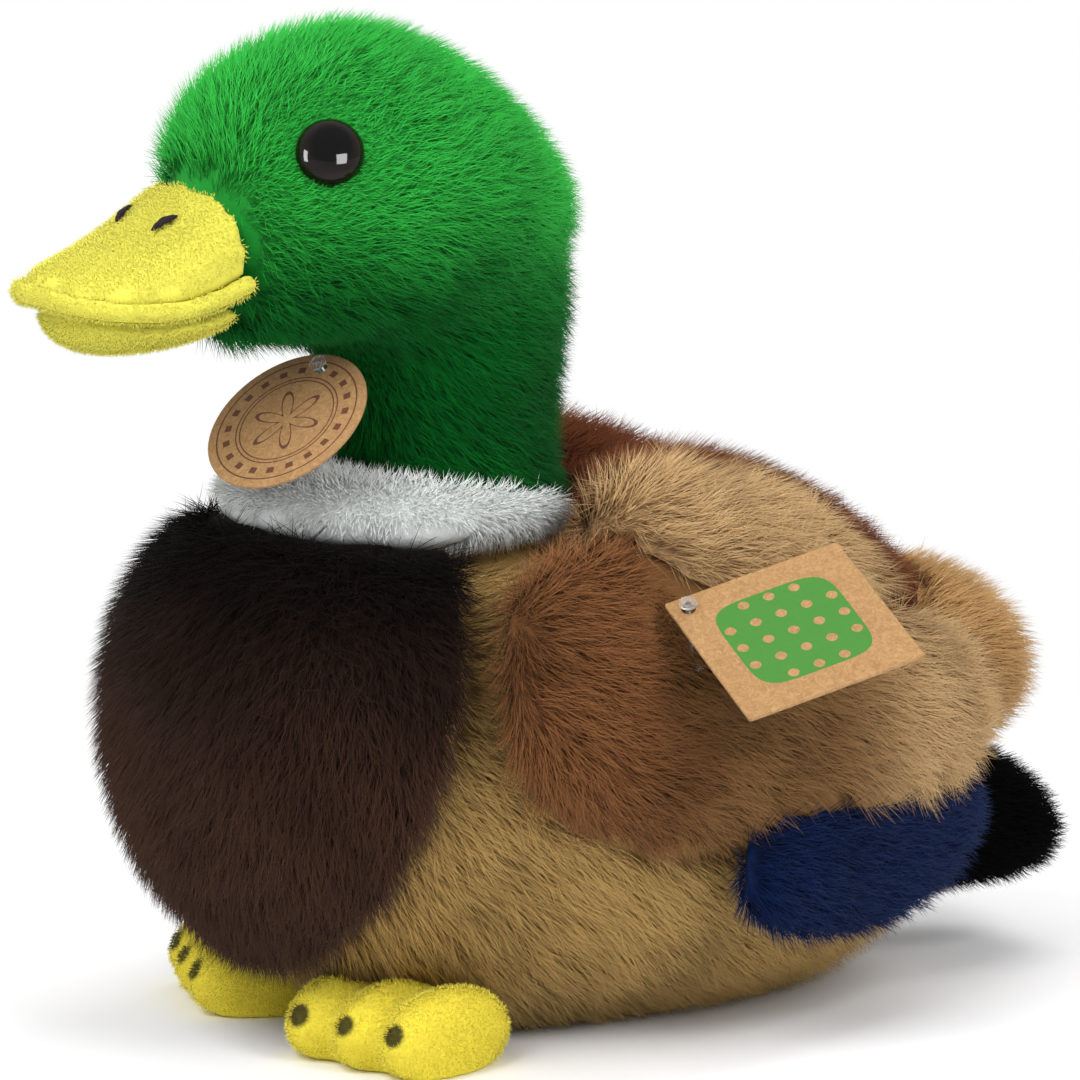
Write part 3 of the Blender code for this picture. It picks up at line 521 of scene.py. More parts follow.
class PileTree:
    """The geometry tree that plants strands on a cover."""

    LENGTH_SPREAD = (0.72, 1.2)
    LIFT_SPREAD = (0.45, 1.65)
    TUFT_SCALE, TUFT_PULL = 130.0, 4.0
    SWIRL_SCALE, SWIRL_PULL = 38.0, 2.5
    FLOOR_CLEAR = 0.0002
    SOCKETS = (
        ("Density", "NodeSocketFloat"),
        ("Length", "NodeSocketFloat"),
        ("Width", "NodeSocketFloat"),
        ("Lift", "NodeSocketFloat"),
        ("Radial", "NodeSocketFloat"),
        ("Source", "NodeSocketVector"),
        ("Drift", "NodeSocketVector"),
        ("Tangle", "NodeSocketFloat"),
        ("Tuft", "NodeSocketFloat"),
        ("Seed", "NodeSocketInt"),
        ("Strand", "NodeSocketObject"),
        ("Finish", "NodeSocketMaterial"),
    )

    def __init__(self) -> None:
        """Builds the tree once, with named inputs."""
        self.tree = bpy.data.node_groups.new("Pile", "GeometryNodeTree")
        face = self.tree.interface
        face.new_socket("Geometry", in_out="INPUT", socket_type="NodeSocketGeometry")
        face.new_socket("Geometry", in_out="OUTPUT", socket_type="NodeSocketGeometry")
        self.ids = {name: face.new_socket(name, in_out="INPUT", socket_type=kind).identifier
                    for name, kind in self.SOCKETS}
        self.board = NodeBoard(self.tree)
        self._fill()

    def _fill(self) -> None:
        """Lays the nodes out: plant, comb, size, realize, clamp to the floor, map and dress."""
        board = self.board
        given = board.add("NodeGroupInput").outputs
        cover = self._attribute("cover")
        plant = board.add("GeometryNodeDistributePointsOnFaces", {
            "Mesh": given["Geometry"], "Seed": given["Seed"],
            "Density": board.math("MULTIPLY", given["Density"], cover)})
        normal = plant.outputs["Normal"]
        points = self._store(plant.outputs["Points"], "root", "FLOAT_VECTOR",
                             board.add("GeometryNodeInputPosition").outputs[0])
        points = self._store(points, "shade", "FLOAT", self._random(given["Seed"], 0.0, 1.0))
        points = self._store(points, "cell", "FLOAT",
                             board.add("GeometryNodeInputIndex").outputs[0])
        count = board.add("GeometryNodeAttributeDomainSize", {0: points},
                          component="POINTCLOUD").outputs["Point Count"]
        side = board.math("CEIL", board.math("SQRT", count))
        points = self._store(points, "side", "FLOAT", side)
        direction = self._combed(given, normal)
        turned = board.add("FunctionNodeAlignRotationToVector", {"Vector": direction}, axis="Z")
        rolled = board.add("FunctionNodeAlignRotationToVector",
                           {"Rotation": turned.outputs[0], "Vector": normal},
                           axis="Y", pivot_axis="Z")
        length = board.math("MULTIPLY", given["Length"], self._attribute("trim"))
        length = board.math("MULTIPLY", length, self._random(given["Seed"], *self.LENGTH_SPREAD))
        size = board.add("ShaderNodeCombineXYZ", {0: given["Width"], 1: given["Width"],
                                                  2: length})
        strand = board.add("GeometryNodeObjectInfo", {"Object": given["Strand"]},
                           transform_space="ORIGINAL")
        placed = board.add("GeometryNodeInstanceOnPoints", {
            "Points": points, "Instance": strand.outputs["Geometry"],
            "Rotation": rolled.outputs[0], "Scale": size.outputs[0]})
        solid = board.add("GeometryNodeRealizeInstances", {0: placed.outputs[0]}).outputs[0]
        dressed = board.add("GeometryNodeSetMaterial",
                            {"Geometry": self._mapped(self._above_floor(solid)),
                             "Material": given["Finish"]})
        board.add("NodeGroupOutput", {0: dressed.outputs[0]})

    def _attribute(self, name: str, kind: str = "FLOAT") -> bpy.types.NodeSocket:
        """Reads a named attribute."""
        node = self.board.add("GeometryNodeInputNamedAttribute", {"Name": name}, data_type=kind)
        return node.outputs[0]

    def _store(self, geometry: Any, name: str, kind: str, value: Any,
               domain: str = "POINT") -> bpy.types.NodeSocket:
        """Writes a named attribute and gives the geometry.

        Args:
            geometry: The geometry socket.
            name: The attribute's name.
            kind: Its data type.
            value: Its value.
            domain: What it is stored on.

        Returns:
            The geometry that holds the attribute.
        """
        node = self.board.add("GeometryNodeStoreNamedAttribute",
                              {"Geometry": geometry, "Name": name, "Value": value},
                              data_type=kind, domain=domain)
        return node.outputs[0]

    def _random(self, seed: Any, low: float, high: float) -> bpy.types.NodeSocket:
        """A random number for each point."""
        node = self.board.add("FunctionNodeRandomValue", {2: low, 3: high, "Seed": seed},
                              data_type="FLOAT")
        return node.outputs[1]

    def _noise(self, scale: float) -> bpy.types.NodeSocket:
        """A smooth random vector that changes over the cover.

        Args:
            scale: How quickly it changes.

        Returns:
            The vector, about -0.5 to 0.5 each way.
        """
        board = self.board
        node = board.add("ShaderNodeTexNoise", {
            "Vector": board.add("GeometryNodeInputPosition").outputs[0],
            "Scale": scale, "Detail": 1.0})
        return board.vector("SUBTRACT", node.outputs[1], (0.5, 0.5, 0.5))

    def _combed(self, given: Any, normal: Any) -> bpy.types.NodeSocket:
        """The way each strand points: along the cover, with its lift, tufts and tangle.

        Args:
            given: The tree's input sockets.
            normal: The cover's normal at the point.

        Returns:
            The direction.
        """
        board = self.board
        position = board.add("GeometryNodeInputPosition").outputs[0]
        away = board.vector("NORMALIZE", board.vector("SUBTRACT", position, given["Source"]))
        flow = board.vector("ADD", board.scaled(away, given["Radial"]), given["Drift"])
        tufts, swirls = (
            board.scaled(self._noise(scale), board.math("MULTIPLY", given["Tuft"], pull))
            for scale, pull in ((self.TUFT_SCALE, self.TUFT_PULL),
                                (self.SWIRL_SCALE, self.SWIRL_PULL)))
        loose = board.add("FunctionNodeRandomValue", {0: (-1.0,) * 3, 1: (1.0,) * 3,
                                                      "Seed": given["Seed"]},
                          data_type="FLOAT_VECTOR").outputs[0]
        flow = board.vector("ADD", flow, board.vector("ADD", tufts, swirls))
        flow = board.vector("ADD", flow, board.scaled(loose, given["Tangle"]))
        lost = board.add("ShaderNodeVectorMath", {0: flow, 1: normal},
                         operation="DOT_PRODUCT").outputs["Value"]
        along = board.vector("SUBTRACT", flow, board.scaled(normal, lost))
        along = board.vector("NORMALIZE", along)
        lift = board.math("MULTIPLY", given["Lift"],
                          self._random(given["Seed"], *self.LIFT_SPREAD))
        rise = board.scaled(normal, board.math("SINE", lift))
        return board.vector("ADD", board.scaled(along, board.math("COSINE", lift)), rise)

    def _above_floor(self, geometry: Any) -> bpy.types.NodeSocket:
        """Presses strands that would pass through the floor flat on it.

        Args:
            geometry: The strands.

        Returns:
            The strands above the floor.
        """
        board = self.board
        split = board.add("ShaderNodeSeparateXYZ",
                          {0: board.add("GeometryNodeInputPosition").outputs[0]})
        height = board.math("MAXIMUM", split.outputs[2], self.FLOOR_CLEAR)
        place = board.add("ShaderNodeCombineXYZ", {0: split.outputs[0], 1: split.outputs[1],
                                                   2: height})
        return board.add("GeometryNodeSetPosition", {"Geometry": geometry,
                                                     "Position": place.outputs[0]}).outputs[0]

    def _mapped(self, geometry: Any) -> bpy.types.NodeSocket:
        """Gives every strand a cell of its own in the bake map.

        Args:
            geometry: The strands.

        Returns:
            The strands with their map.
        """
        board = self.board
        local = board.add("ShaderNodeSeparateXYZ", {0: self._attribute("strip", "FLOAT_VECTOR")})
        cell, side = self._attribute("cell"), self._attribute("side")
        column = board.math("MODULO", cell, side)
        row = board.math("FLOOR", board.math("DIVIDE", cell, side))
        across = board.math("DIVIDE", board.math("ADD", column, local.outputs[0]), side)
        up = board.math("DIVIDE", board.math("ADD", row, local.outputs[1]), side)
        both = board.add("ShaderNodeCombineXYZ", {0: across, 1: up}).outputs[0]
        return self._store(geometry, BAKE_MAP, "FLOAT2", both, "CORNER")


class Pile:
    """Makes piles of strands from one tree and one strand shape."""

    WIDEST = 0.40
    STRIP = ((0.50, 0.08), (0.12, 0.46), (0.88, 0.46), (0.50, 0.92))
    FACES = ((0, 1, 2), (1, 3, 2), (0, 2, 3), (0, 3, 1))
    COAT_SEED = 100

    def __init__(self) -> None:
        """Builds the tree."""
        self.nodes = PileTree()

    def _strand(self, bend: float) -> bpy.types.Object:
        """One closed strand: pointed at both ends, widest near its middle, and arched there.

        Args:
            bend: How far its widest place stands off, in half strand widths.

        Returns:
            The strand as an object of unit height and unit half width.
        """
        points = [(0.0, 0.0, 0.0), (-1.0, bend, self.WIDEST), (1.0, bend, self.WIDEST),
                  (0.0, 0.0, 1.0)]
        mesh = bpy.data.meshes.new("strand")
        mesh.from_pydata(points, [], self.FACES)
        mesh.shade_smooth()
        along = mesh.attributes.new("along", "FLOAT", "POINT")
        along.data.foreach_set("value", [point[2] for point in points])
        strip = mesh.attributes.new("strip", "FLOAT_VECTOR", "POINT")
        strip.data.foreach_set("vector", [part for spot in self.STRIP for part in (*spot, 0.0)])
        return linked("strand", mesh)

    def plant(self, cover: bpy.types.Object, name: str, cut: Cut,
              finish: bpy.types.Material) -> bpy.types.Object:
        """Plants a pile on a cover.

        Args:
            cover: The cloth form, with its "cover" and "trim" attributes.
            name: The name of the new piece.
            cut: The size and lie of the strands.
            finish: The pile's material.

        Returns:
            The pile as a plain mesh object.
        """
        strand = self._strand(cut.bend)
        carrier = linked(name, cover.data.copy())
        grow = carrier.modifiers.new("Pile", "NODES")
        values = {
            "Density": cut.density, "Length": cut.length, "Width": cut.width,
            "Lift": math.radians(cut.lift), "Radial": float(cut.lie is Lie.RADIAL),
            "Source": cut.source, "Drift": cut.drift, "Tangle": cut.tangle, "Tuft": cut.tuft,
            "Seed": cut.seed, "Strand": strand, "Finish": finish,
        }
        grow.node_group = self.nodes.tree
        for label, value in values.items():
            grow[self.nodes.ids[label]] = value
        made = plain_mesh(carrier, name)
        for spare in (carrier, strand):
            bpy.data.objects.remove(spare)
        made.name = name
        return made


def linked(name: str, data: bpy.types.ID) -> bpy.types.Object:
    """Makes an object of some data and links it to the scene.

    Args:
        name: The object's name.
        data: Its mesh, curve, lamp or camera.

    Returns:
        The object.
    """
    obj = bpy.data.objects.new(name, data)
    bpy.context.scene.collection.objects.link(obj)
    return obj


def meshed(name: str, made: bmesh.types.BMesh) -> bpy.types.Object:
    """Turns a finished shape into a mesh object and frees the shape.

    Args:
        name: The object's name.
        made: The shape.

    Returns:
        The object, linked to the scene.
    """
    mesh = bpy.data.meshes.new(name)
    made.to_mesh(mesh)
    made.free()
    return linked(name, mesh)


def plain_mesh(obj: bpy.types.Object, name: str) -> bpy.types.Object:
    """Turns an object with its modifiers into a new plain mesh object.

    Args:
        obj: The object to read.
        name: The new object's name.

    Returns:
        The new object, linked to the scene.
    """
    graph = bpy.context.evaluated_depsgraph_get()
    graph.update()
    mesh = bpy.data.meshes.new_from_object(obj.evaluated_get(graph),
                                           preserve_all_data_layers=True, depsgraph=graph)
    return linked(f"{name}_made", mesh)


def node_copy(nodes: Sequence[str], name: str, stretch: float = 0.0) -> bpy.types.Object:
    """Copies frame solids into one merged mesh.

    Args:
        nodes: The solids' names.
        name: The new object's name.
        stretch: How far the last solid's top is drawn up, so that it passes into the first.

    Returns:
        The copy as an object.
    """
    joined = bmesh.new()
    for index, node in enumerate(nodes):
        first = len(joined.verts)
        joined.from_mesh(frame["nodes"][node].data)
        joined.verts.ensure_lookup_table()
        if stretch and index == len(nodes) - 1:
            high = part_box(node)[1].z - stretch / 4.0
            for vert in joined.verts[first:]:
                if vert.co.z > high:
                    vert.co.z += stretch
    bmesh.ops.remove_doubles(joined, verts=joined.verts, dist=MERGE_DISTANCE)
    return meshed(name, joined)


def node_tree(node: str) -> BVHTree:
    """Makes a search tree on one frame solid.

    Args:
        node: The solid's name.

    Returns:
        The tree.
    """
    solid = bmesh.new()
    solid.from_mesh(frame["nodes"][node].data)
    made = BVHTree.FromBMesh(solid)
    solid.free()
    return made


class Neighbours:
    """Says where a cover is sewn to other solids, and how near the hard pieces are."""

    SOFT = ("body", "breast", "back_panel", "rump", "tail", "neck", "collar", "head",
            "upper_beak", "beak_rim", "lower_beak", "left_wing_side", "left_wing_top",
            "left_speculum", "right_wing_side", "right_wing_top", "right_speculum",
            "left_foot", "right_foot")
    HARD = ("left_eye", "right_eye", "round_tag", "square_tag")
    CLEAR_REACH = 0.009
    SEWN_REACH = 0.0022
    OPPOSED = -0.2
    TOUCH_REACH = 0.002
    UNDER_CARD = 0.6
    PIN_REACH = 0.011
    SHORTEST = 0.3

    def __init__(self) -> None:
        """Builds the search trees."""
        self.trees = {node: node_tree(node) for node in (*self.SOFT, *self.HARD)}
        self.boxes = {node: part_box(node) for node in self.trees}
        self.card_faces = {node: flat_normal(node_points(node))
                           for node in ("round_tag", "square_tag")}
        self.pins = [Vector(joint["pos_m"]) for joint in frame["joints"]
                     if joint["name"] in ("round_tag_swing", "square_tag_swing")]

    def _near(self, node: str, point: Vector, reach: float) -> bool:
        """Says if a point is within reach of a solid's box."""
        low, high = self.boxes[node]
        return all(low[i] - reach <= point[i] <= high[i] + reach for i in range(3))

    def sewn(self, point: Vector, normal: Vector, own: Sequence[str]) -> bool:
        """Says if a point of a cover lies against another cover, or on the floor.

        Args:
            point: The point on the cover.
            normal: The cover's normal there.
            own: The solids that the cover stands for.

        Returns:
            True where the cover is closed off, so that no strand is needed.
        """
        if point.z < HIDDEN_REACH and normal.z < self.OPPOSED:
            return True
        for node in self.SOFT:
            if node in own or not self._near(node, point, self.SEWN_REACH):
                continue
            facing = self.trees[node].find_nearest(point, self.SEWN_REACH)[1]
            if facing and facing.dot(normal) < self.OPPOSED:
                return True
        return False

    def trim(self, point: Vector) -> float:
        """Says how short a strand is cut near an eye or a pin, or under a card.

        Args:
            point: The strand's place, at the level of the tips.

        Returns:
            The share of its length that it keeps.
        """
        kept = 1.0
        pinned = any((point - pin).length < self.PIN_REACH for pin in self.pins)
        for node in self.HARD:
            if self._near(node, point, self.CLEAR_REACH):
                place, _normal, _face, gap = self.trees[node].find_nearest(point)
                across = self.card_faces.get(node)
                beside = across and abs((point - place).dot(across)) < self.UNDER_CARD * gap
                if beside and not pinned:
                    continue
                share = max(0.0, min(1.0, (gap - self.TOUCH_REACH) / self.CLEAR_REACH))
                kept = min(kept, self.SHORTEST + (1.0 - self.SHORTEST) * share)
        return kept


@dataclass
class Cover:
    """A stuffed cover: a smooth cloth form under the solid's surface, and its pile."""

    name: str
    nodes: tuple[str, ...]
    body: str
    slot: str
    finish: PlushFinish
    cut: Cut | None
    inset: float = 0.003
    voxel: float = 0.002
    rounding: int = 8
    fills: tuple[str, ...] = ()
    stretch: float = 0.0
    fill: float = 0.85
    blend: tuple[str, str, Point, Point] | None = None
    pieces: list[bpy.types.Object] = field(default_factory=list)

    def build(self, pile: Pile, neighbours: Neighbours) -> None:
        """Builds the cloth form and its pile, and ties both to their body.

        Args:
            pile: Plants the strands.
            neighbours: Says where strands are left out or cut short.
        """
        cloth = self._cloth(neighbours)
        self._mark(cloth, neighbours)
        cloth.data.materials.clear()
        cloth.data.materials.append(self.finish.material(pile=False))
        self._tie(cloth)
        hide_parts(*self.nodes)
        if self.cut:
            dye = self.finish.material(pile=True)
            for coat in range(self.cut.coats):
                share = replace(self.cut, density=self.cut.density / self.cut.coats,
                                seed=self.cut.seed + pile.COAT_SEED * coat)
                self._tie(pile.plant(cloth, f"{self.name}_pile_{coat + 1}", share, dye))
        LOG.info("%s: %s", self.name,
                 ", ".join(f"{piece.name} {len(piece.data.polygons)}" for piece in self.pieces))

    def _cloth(self, neighbours: Neighbours) -> bpy.types.Object:
        """Makes the cloth form: remeshed, rounded, and sunk by the inset.

        Args:
            neighbours: Says where the cover is sewn to others.

        Returns:
            The cloth as a plain mesh object.
        """
        base = node_copy((*self.fills, *self.nodes), f"{self.name}_base", self.stretch)
        remesh = base.modifiers.new("Weave", "REMESH")
        remesh.mode = "VOXEL"
        remesh.voxel_size = self.voxel
        remesh.use_smooth_shade = True
        soften = base.modifiers.new("Rounding", "SMOOTH")
        soften.factor = 0.5
        soften.iterations = self.rounding
        cloth = plain_mesh(base, self.name)
        bpy.data.objects.remove(base)
        cloth.name = self.name
        self._sink(cloth.data, neighbours)
        self._seat(cloth)
        cloth.data.shade_smooth()
        return cloth

    def _sink(self, mesh: bpy.types.Mesh, neighbours: Neighbours) -> None:
        """Sinks the open faces by the inset. The sewn faces follow along their seams.

        Args:
            mesh: The cloth's mesh, which also gets its "cover" attribute.
            neighbours: Says where the cover is sewn to others.
        """
        spots = np.array([vert.co for vert in mesh.vertices])
        normals = np.array([vert.normal for vert in mesh.vertices])
        sewn = np.array([neighbours.sewn(vert.co, vert.normal, self.nodes)
                         for vert in mesh.vertices])
        pairs = np.array([edge.vertices for edge in mesh.edges])
        shift = np.where(sewn[:, None], 0.0, -self.inset * normals)
        for _ in range(SEAM_STEPS):
            shift[sewn] = ring_mean(shift, pairs)[sewn]
        for _ in range(SETTLE_STEPS):
            shift = (shift + ring_mean(shift, pairs)) / 2.0
        mesh.vertices.foreach_set("co", (spots + shift).ravel())
        mesh.update()
        cover = mesh.attributes.new("cover", "FLOAT", "POINT")
        cover.data.foreach_set("value", 1.0 - sewn)

    def _seat(self, cloth: bpy.types.Object) -> None:
        """Draws the underside of a cover that rests on the floor back down to it.

        Args:
            cloth: The cloth form, whose mesh is changed.
        """
        low = min(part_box(node)[0].z for node in self.nodes)
        if low > FLOOR_LEVEL:
            return
        seated = min(vert.co.z for vert in cloth.data.vertices)
        reach = SEAT_STEPS * max(self.inset, self.voxel)
        for vert in cloth.data.vertices:
            share = max(0.0, 1.0 - (vert.co.z - seated) / reach)
            vert.co.z -= (seated - low) * share * share * (3.0 - 2.0 * share)

    def _mark(self, cloth: bpy.types.Object, neighbours: Neighbours) -> None:
        """Stores how much of their length the strands keep."""
        outward = self.inset + HIDDEN_REACH
        kept = [neighbours.trim(vert.co + vert.normal * outward) for vert in cloth.data.vertices]
        cloth.data.attributes.new("trim", "FLOAT", "POINT").data.foreach_set("value", kept)

    def _tie(self, piece: bpy.types.Object) -> None:
        """Ties a piece to its body, or bends it between two.

        Args:
            piece: The cloth or its pile.
        """
        if self.blend:
            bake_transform(piece)
        else:
            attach(piece, self.body)
        self.pieces.append(piece)


@dataclass
class Eye:
    """A glossy domed eye with its flange and shank, on the axis of the frame's eye."""

    side: str
    radius: float = 0.0064
    dome: float = 0.0048
    flange: float = 0.0008
    shank_radius: float = 0.0016
    shank_length: float = 0.011
    around: int = 64
    arc_steps: int = 16

    def build(self) -> None:
        """Builds the eye and ties it to the head."""
        place, axis = self._seat()
        frame_matrix = place_matrix(place, axis, Vector((0.0, 0.0, 1.0)))
        profile = []
        for step in range(self.arc_steps + 1):
            angle = math.pi / 2.0 * step / self.arc_steps
            profile.append((self.radius * math.sin(angle), self.dome * math.cos(angle)))
        profile += [(self.radius, -self.flange), (self.shank_radius, -self.flange),
                    (self.shank_radius, -self.shank_length), (0.0, -self.shank_length)]
        eye = lathe(f"{self.side}_eye_dome", profile, self.around, frame_matrix)
        finish = EyeFinish(tuple(place), tuple(axis), self.radius * 0.62, f"{self.side}_eye_gloss")
        eye.data.materials.append(finish.material())
        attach(eye, "head")
        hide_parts(f"{self.side}_eye")
        LOG.info("%s_eye_dome: %d faces", self.side, len(eye.data.polygons))

    def _seat(self) -> tuple[Vector, Vector]:
        """Reads the eye's place and axis from its solid.

        Returns:
            The place where the dome meets the flange, and the way that it faces.
        """
        points = node_points(f"{self.side}_eye")
        centre = points.mean(0)
        spread = np.linalg.svd(points - centre, full_matrices=False)[2]
        offsets = [np.linalg.norm(np.cross(points - centre, way), axis=1).max() for way in spread]
        axis = spread[int(np.argmin(offsets))]
        heights = (points - centre) @ axis
        radii = np.linalg.norm(np.cross(points - centre, axis), axis=1)
        if abs(heights[radii < self.shank_radius * 1.1].min()) < heights.max():
            axis, heights = -axis, -heights
        top = heights.max()
        return Vector(centre + axis * (top - self.dome)), Vector(axis)


@dataclass
class Nostril:
    """An embroidered dash: close rows of dark thread laid over the solid's dash."""

    side: str
    rows: int = 5
    thread: float = 0.00034
    around: int = 6
    steps: int = 8

    def build(self) -> None:
        """Builds the rows of thread and ties them to the head."""
        points = node_points(f"{self.side}_nostril")
        centre = points.mean(0)
        ways = np.linalg.svd(points - centre, full_matrices=False)[2]
        long, wide, rise = (Vector(way) for way in ways)
        if rise.z < 0.0:
            rise = -rise
        reach = float(np.abs((points - centre) @ np.array(long)).max())
        spread = float(np.abs((points - centre) @ np.array(wide)).max())
        made = bmesh.new()
        for row in range(self.rows):
            share = 2.0 * row / (self.rows - 1) - 1.0
            half = reach * math.sqrt(max(0.2, 1.0 - 0.75 * share * share))
            middle = Vector(centre) + wide * (share * spread * 0.8)
            self._thread(made, middle, long, wide, rise, half)
        piece = meshed(f"{self.side}_nostril_thread", made)
        finish = ThreadFinish(f"{self.side}_nostril_dye", (0.010, 0.006, 0.008),
                              (0.040, 0.024, 0.030), 2500.0)
        piece.data.materials.append(finish.material())
        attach(piece, "head")
        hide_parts(f"{self.side}_nostril")
        LOG.info("%s: %d rows", piece.name, self.rows)

    def _thread(self, made: bmesh.types.BMesh, middle: Vector, long: Vector, wide: Vector,
                rise: Vector, half: float) -> None:
        """Adds one closed thread that humps over the cloth.

        Args:
            made: The mesh to add to.
            middle: The thread's middle.
            long: Its direction.
            wide: Across it.
            rise: Away from the cloth.
            half: Half its length.
        """
        rings = []
        turns = [2.0 * math.pi * i / self.around for i in range(self.around)]
        for step in range(self.steps + 1):
            share = 2.0 * step / self.steps - 1.0
            hump = self.thread * 1.6 * (1.0 - share * share) - self.thread * 0.4
            spot = middle + long * (share * half) + rise * hump
            size = self.thread * (0.45 if abs(share) == 1.0 else 1.0)
            rings.append([made.verts.new(spot + (wide * math.cos(turn)
                                                 + rise * math.sin(turn)) * size)
                          for turn in turns])
        for near, far in zip(rings, rings[1:]):
            for index in range(self.around):
                after = (index + 1) % self.around
                made.faces.new((near[index], near[after], far[after], far[index]))
        made.faces.new(rings[0])
        made.faces.new(rings[-1])
        bmesh.ops.recalc_face_normals(made, faces=made.faces)


@dataclass
class Card:
    """A card tag with a punched hole, on the plane of the frame's tag."""

    node: str
    joint: str
    width: float
    height: float
    corner: float
    design: Print
    ink: Colour
    thickness: float = 0.0007
    edge: float = 0.00012
    hole: float = 0.0013
    corner_steps: int = 16

    def build(self) -> None:
        """Builds the card and ties it to its own body."""
        points = node_points(self.node)
        centre = Vector((points.max(0) + points.min(0)) / 2.0)
        normal = flat_normal(points)
        pin = Vector(next(j["pos_m"] for j in frame["joints"] if j["name"] == self.joint))
        toward = pin - centre
        toward -= normal * toward.dot(normal)
        rise = self._side_way(normal, toward)
        place = place_matrix(centre, normal, rise)
        spot = place.inverted() @ pin
        outline = self._outline()
        card = flat_card(self.node + "_card", outline, (spot.x, spot.y), self, place)
        finish = CardFinish(f"{self.node}_kraft", self.design, max(self.width, self.height),
                            self.ink)
        card.data.materials.append(finish.material())
        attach(card, self.node)
        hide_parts(self.node)
        LOG.info("%s: %d faces", card.name, len(card.data.polygons))

    def _side_way(self, normal: Vector, toward: Vector) -> Vector:
        """Finds the way of the card's Y.

        Args:
            normal: The card's normal.
            toward: The way from its centre to its hole.

        Returns:
            The way to the hole, or for a square card the way along its nearest side.
        """
        if self.design is Print.RINGS:
            return toward
        across = normal.cross(toward).normalized()
        return (toward.normalized() + across).normalized()

    def _outline(self) -> list[tuple[float, float]]:
        """The card's outline: a rectangle with round corners, or a circle."""
        corners = []
        for number, (side_x, side_y) in enumerate(((1, 1), (-1, 1), (-1, -1), (1, -1))):
            mid_x = side_x * (self.width / 2.0 - self.corner)
            mid_y = side_y * (self.height / 2.0 - self.corner)
            for step in range(self.corner_steps + 1):
                turn = math.pi / 2.0 * (number + step / self.corner_steps)
                corners.append((mid_x + self.corner * math.cos(turn),
                                mid_y + self.corner * math.sin(turn)))
        return corners


def flat_card(name: str, outline: Sequence[tuple[float, float]], hole: tuple[float, float],
              card: Card, place: Matrix) -> bpy.types.Object:
    """Makes a flat card with a hole and eased edges, and gives it a map of its own.

    Args:
        name: The new object's name.
        outline: The card's outline, in metres from its centre.
        hole: The hole's centre.
        card: The card's sizes.
        place: Where the card goes.

    Returns:
        The card as a plain mesh object.
    """
    curve = bpy.data.curves.new(f"{name}_outline", "CURVE")
    curve.dimensions = "2D"
    curve.fill_mode = "BOTH"
    curve.extrude = card.thickness / 2.0 - card.edge
    curve.bevel_depth = card.edge
    curve.bevel_resolution = 1
    curve.offset = -card.edge
    steps = 40
    rim = [(hole[0] + card.hole * math.cos(2.0 * math.pi * i / steps),
            hole[1] + card.hole * math.sin(2.0 * math.pi * i / steps)) for i in range(steps)]
    for line in (outline, rim):
        points = [spot for spot, before in zip(line, [None, *line]) if spot != before]
        spline = curve.splines.new("POLY")
        spline.points.add(len(points) - 1)
        for knot, (x, y) in zip(spline.points, points):
            knot.co = (x, y, 0.0, 1.0)
        spline.use_cyclic_u = True
    guide = linked(f"{name}_guide", curve)
    made = plain_mesh(guide, name)
    bpy.data.objects.remove(guide)
    made.name = name
    solid = bmesh.new()
    solid.from_mesh(made.data)
    bmesh.ops.remove_doubles(solid, verts=solid.verts, dist=MERGE_DISTANCE)
    bmesh.ops.recalc_face_normals(solid, faces=solid.faces)
    layer = solid.loops.layers.uv.new("card")
    size = max(card.width, card.height)
    for face in solid.faces:
        for loop in face.loops:
            loop[layer].uv = (loop.vert.co.x / size + 0.5, loop.vert.co.y / size + 0.5)
    solid.transform(place)
    solid.to_mesh(made.data)
    solid.free()
    return made


def node_points(node: str) -> np.ndarray:
    """The corners of a frame solid as an array, each once."""
    spots = np.array([vert.co for vert in frame["nodes"][node].data.vertices], float)
    return np.unique(spots.round(7), axis=0)


def flat_normal(points: np.ndarray) -> Vector:
    """The upward normal of a flat piece's points."""
    normal = Vector(np.linalg.svd(points - points.mean(0), full_matrices=False)[2][2])
    return -normal if normal.z < 0.0 else normal


def ring_mean(values: np.ndarray, pairs: np.ndarray) -> np.ndarray:
    """The mean of the values at each point's neighbours.

    Args:
        values: A row for each point.
        pairs: The numbers of the two points of each edge.

    Returns:
        A row for each point.
    """
    total, count = np.zeros_like(values), np.zeros(len(values))
    for near, far in ((pairs[:, 0], pairs[:, 1]), (pairs[:, 1], pairs[:, 0])):
        np.add.at(total, near, values[far])
        np.add.at(count, near, 1.0)
    return total / np.maximum(count, 1.0)[:, None]


def place_matrix(centre: Vector, normal: Vector, rise: Vector) -> Matrix:
    """Makes a frame whose Z is the normal and whose Y lies nearest the rise.

    Args:
        centre: The frame's origin.
        normal: Its Z.
        rise: The way that its Y lies nearest.

    Returns:
        The frame as a matrix.
    """
    z = normal.normalized()
    y = (rise - z * rise.dot(z)).normalized()
    x = y.cross(z)
    return Matrix.Translation(centre) @ Matrix((x, y, z)).transposed().to_4x4()


def lathe(name: str, profile: Iterable[tuple[float, float]], around: int,
          place: Matrix) -> bpy.types.Object:
    """Turns a profile of (radius, height) into a closed solid.

    Args:
        name: The new object's name.
        profile: Its outline from the top of the axis to the bottom.
        around: The number of sides.
        place: Where the solid goes.

    Returns:
        The solid as a mesh object.
    """
    solid = bmesh.new()
    verts = [solid.verts.new((radius, 0.0, height)) for radius, height in profile]
    edges = [solid.edges.new(pair) for pair in zip(verts, verts[1:])]
    bmesh.ops.spin(solid, geom=verts + edges, axis=(0.0, 0.0, 1.0), cent=(0.0, 0.0, 0.0),
                   angle=2.0 * math.pi, steps=around)
    bmesh.ops.remove_doubles(solid, verts=solid.verts, dist=MERGE_DISTANCE)
    bmesh.ops.recalc_face_normals(solid, faces=solid.faces)
    solid.transform(place)
    obj = meshed(name, solid)
    obj.data.shade_smooth()
    return obj


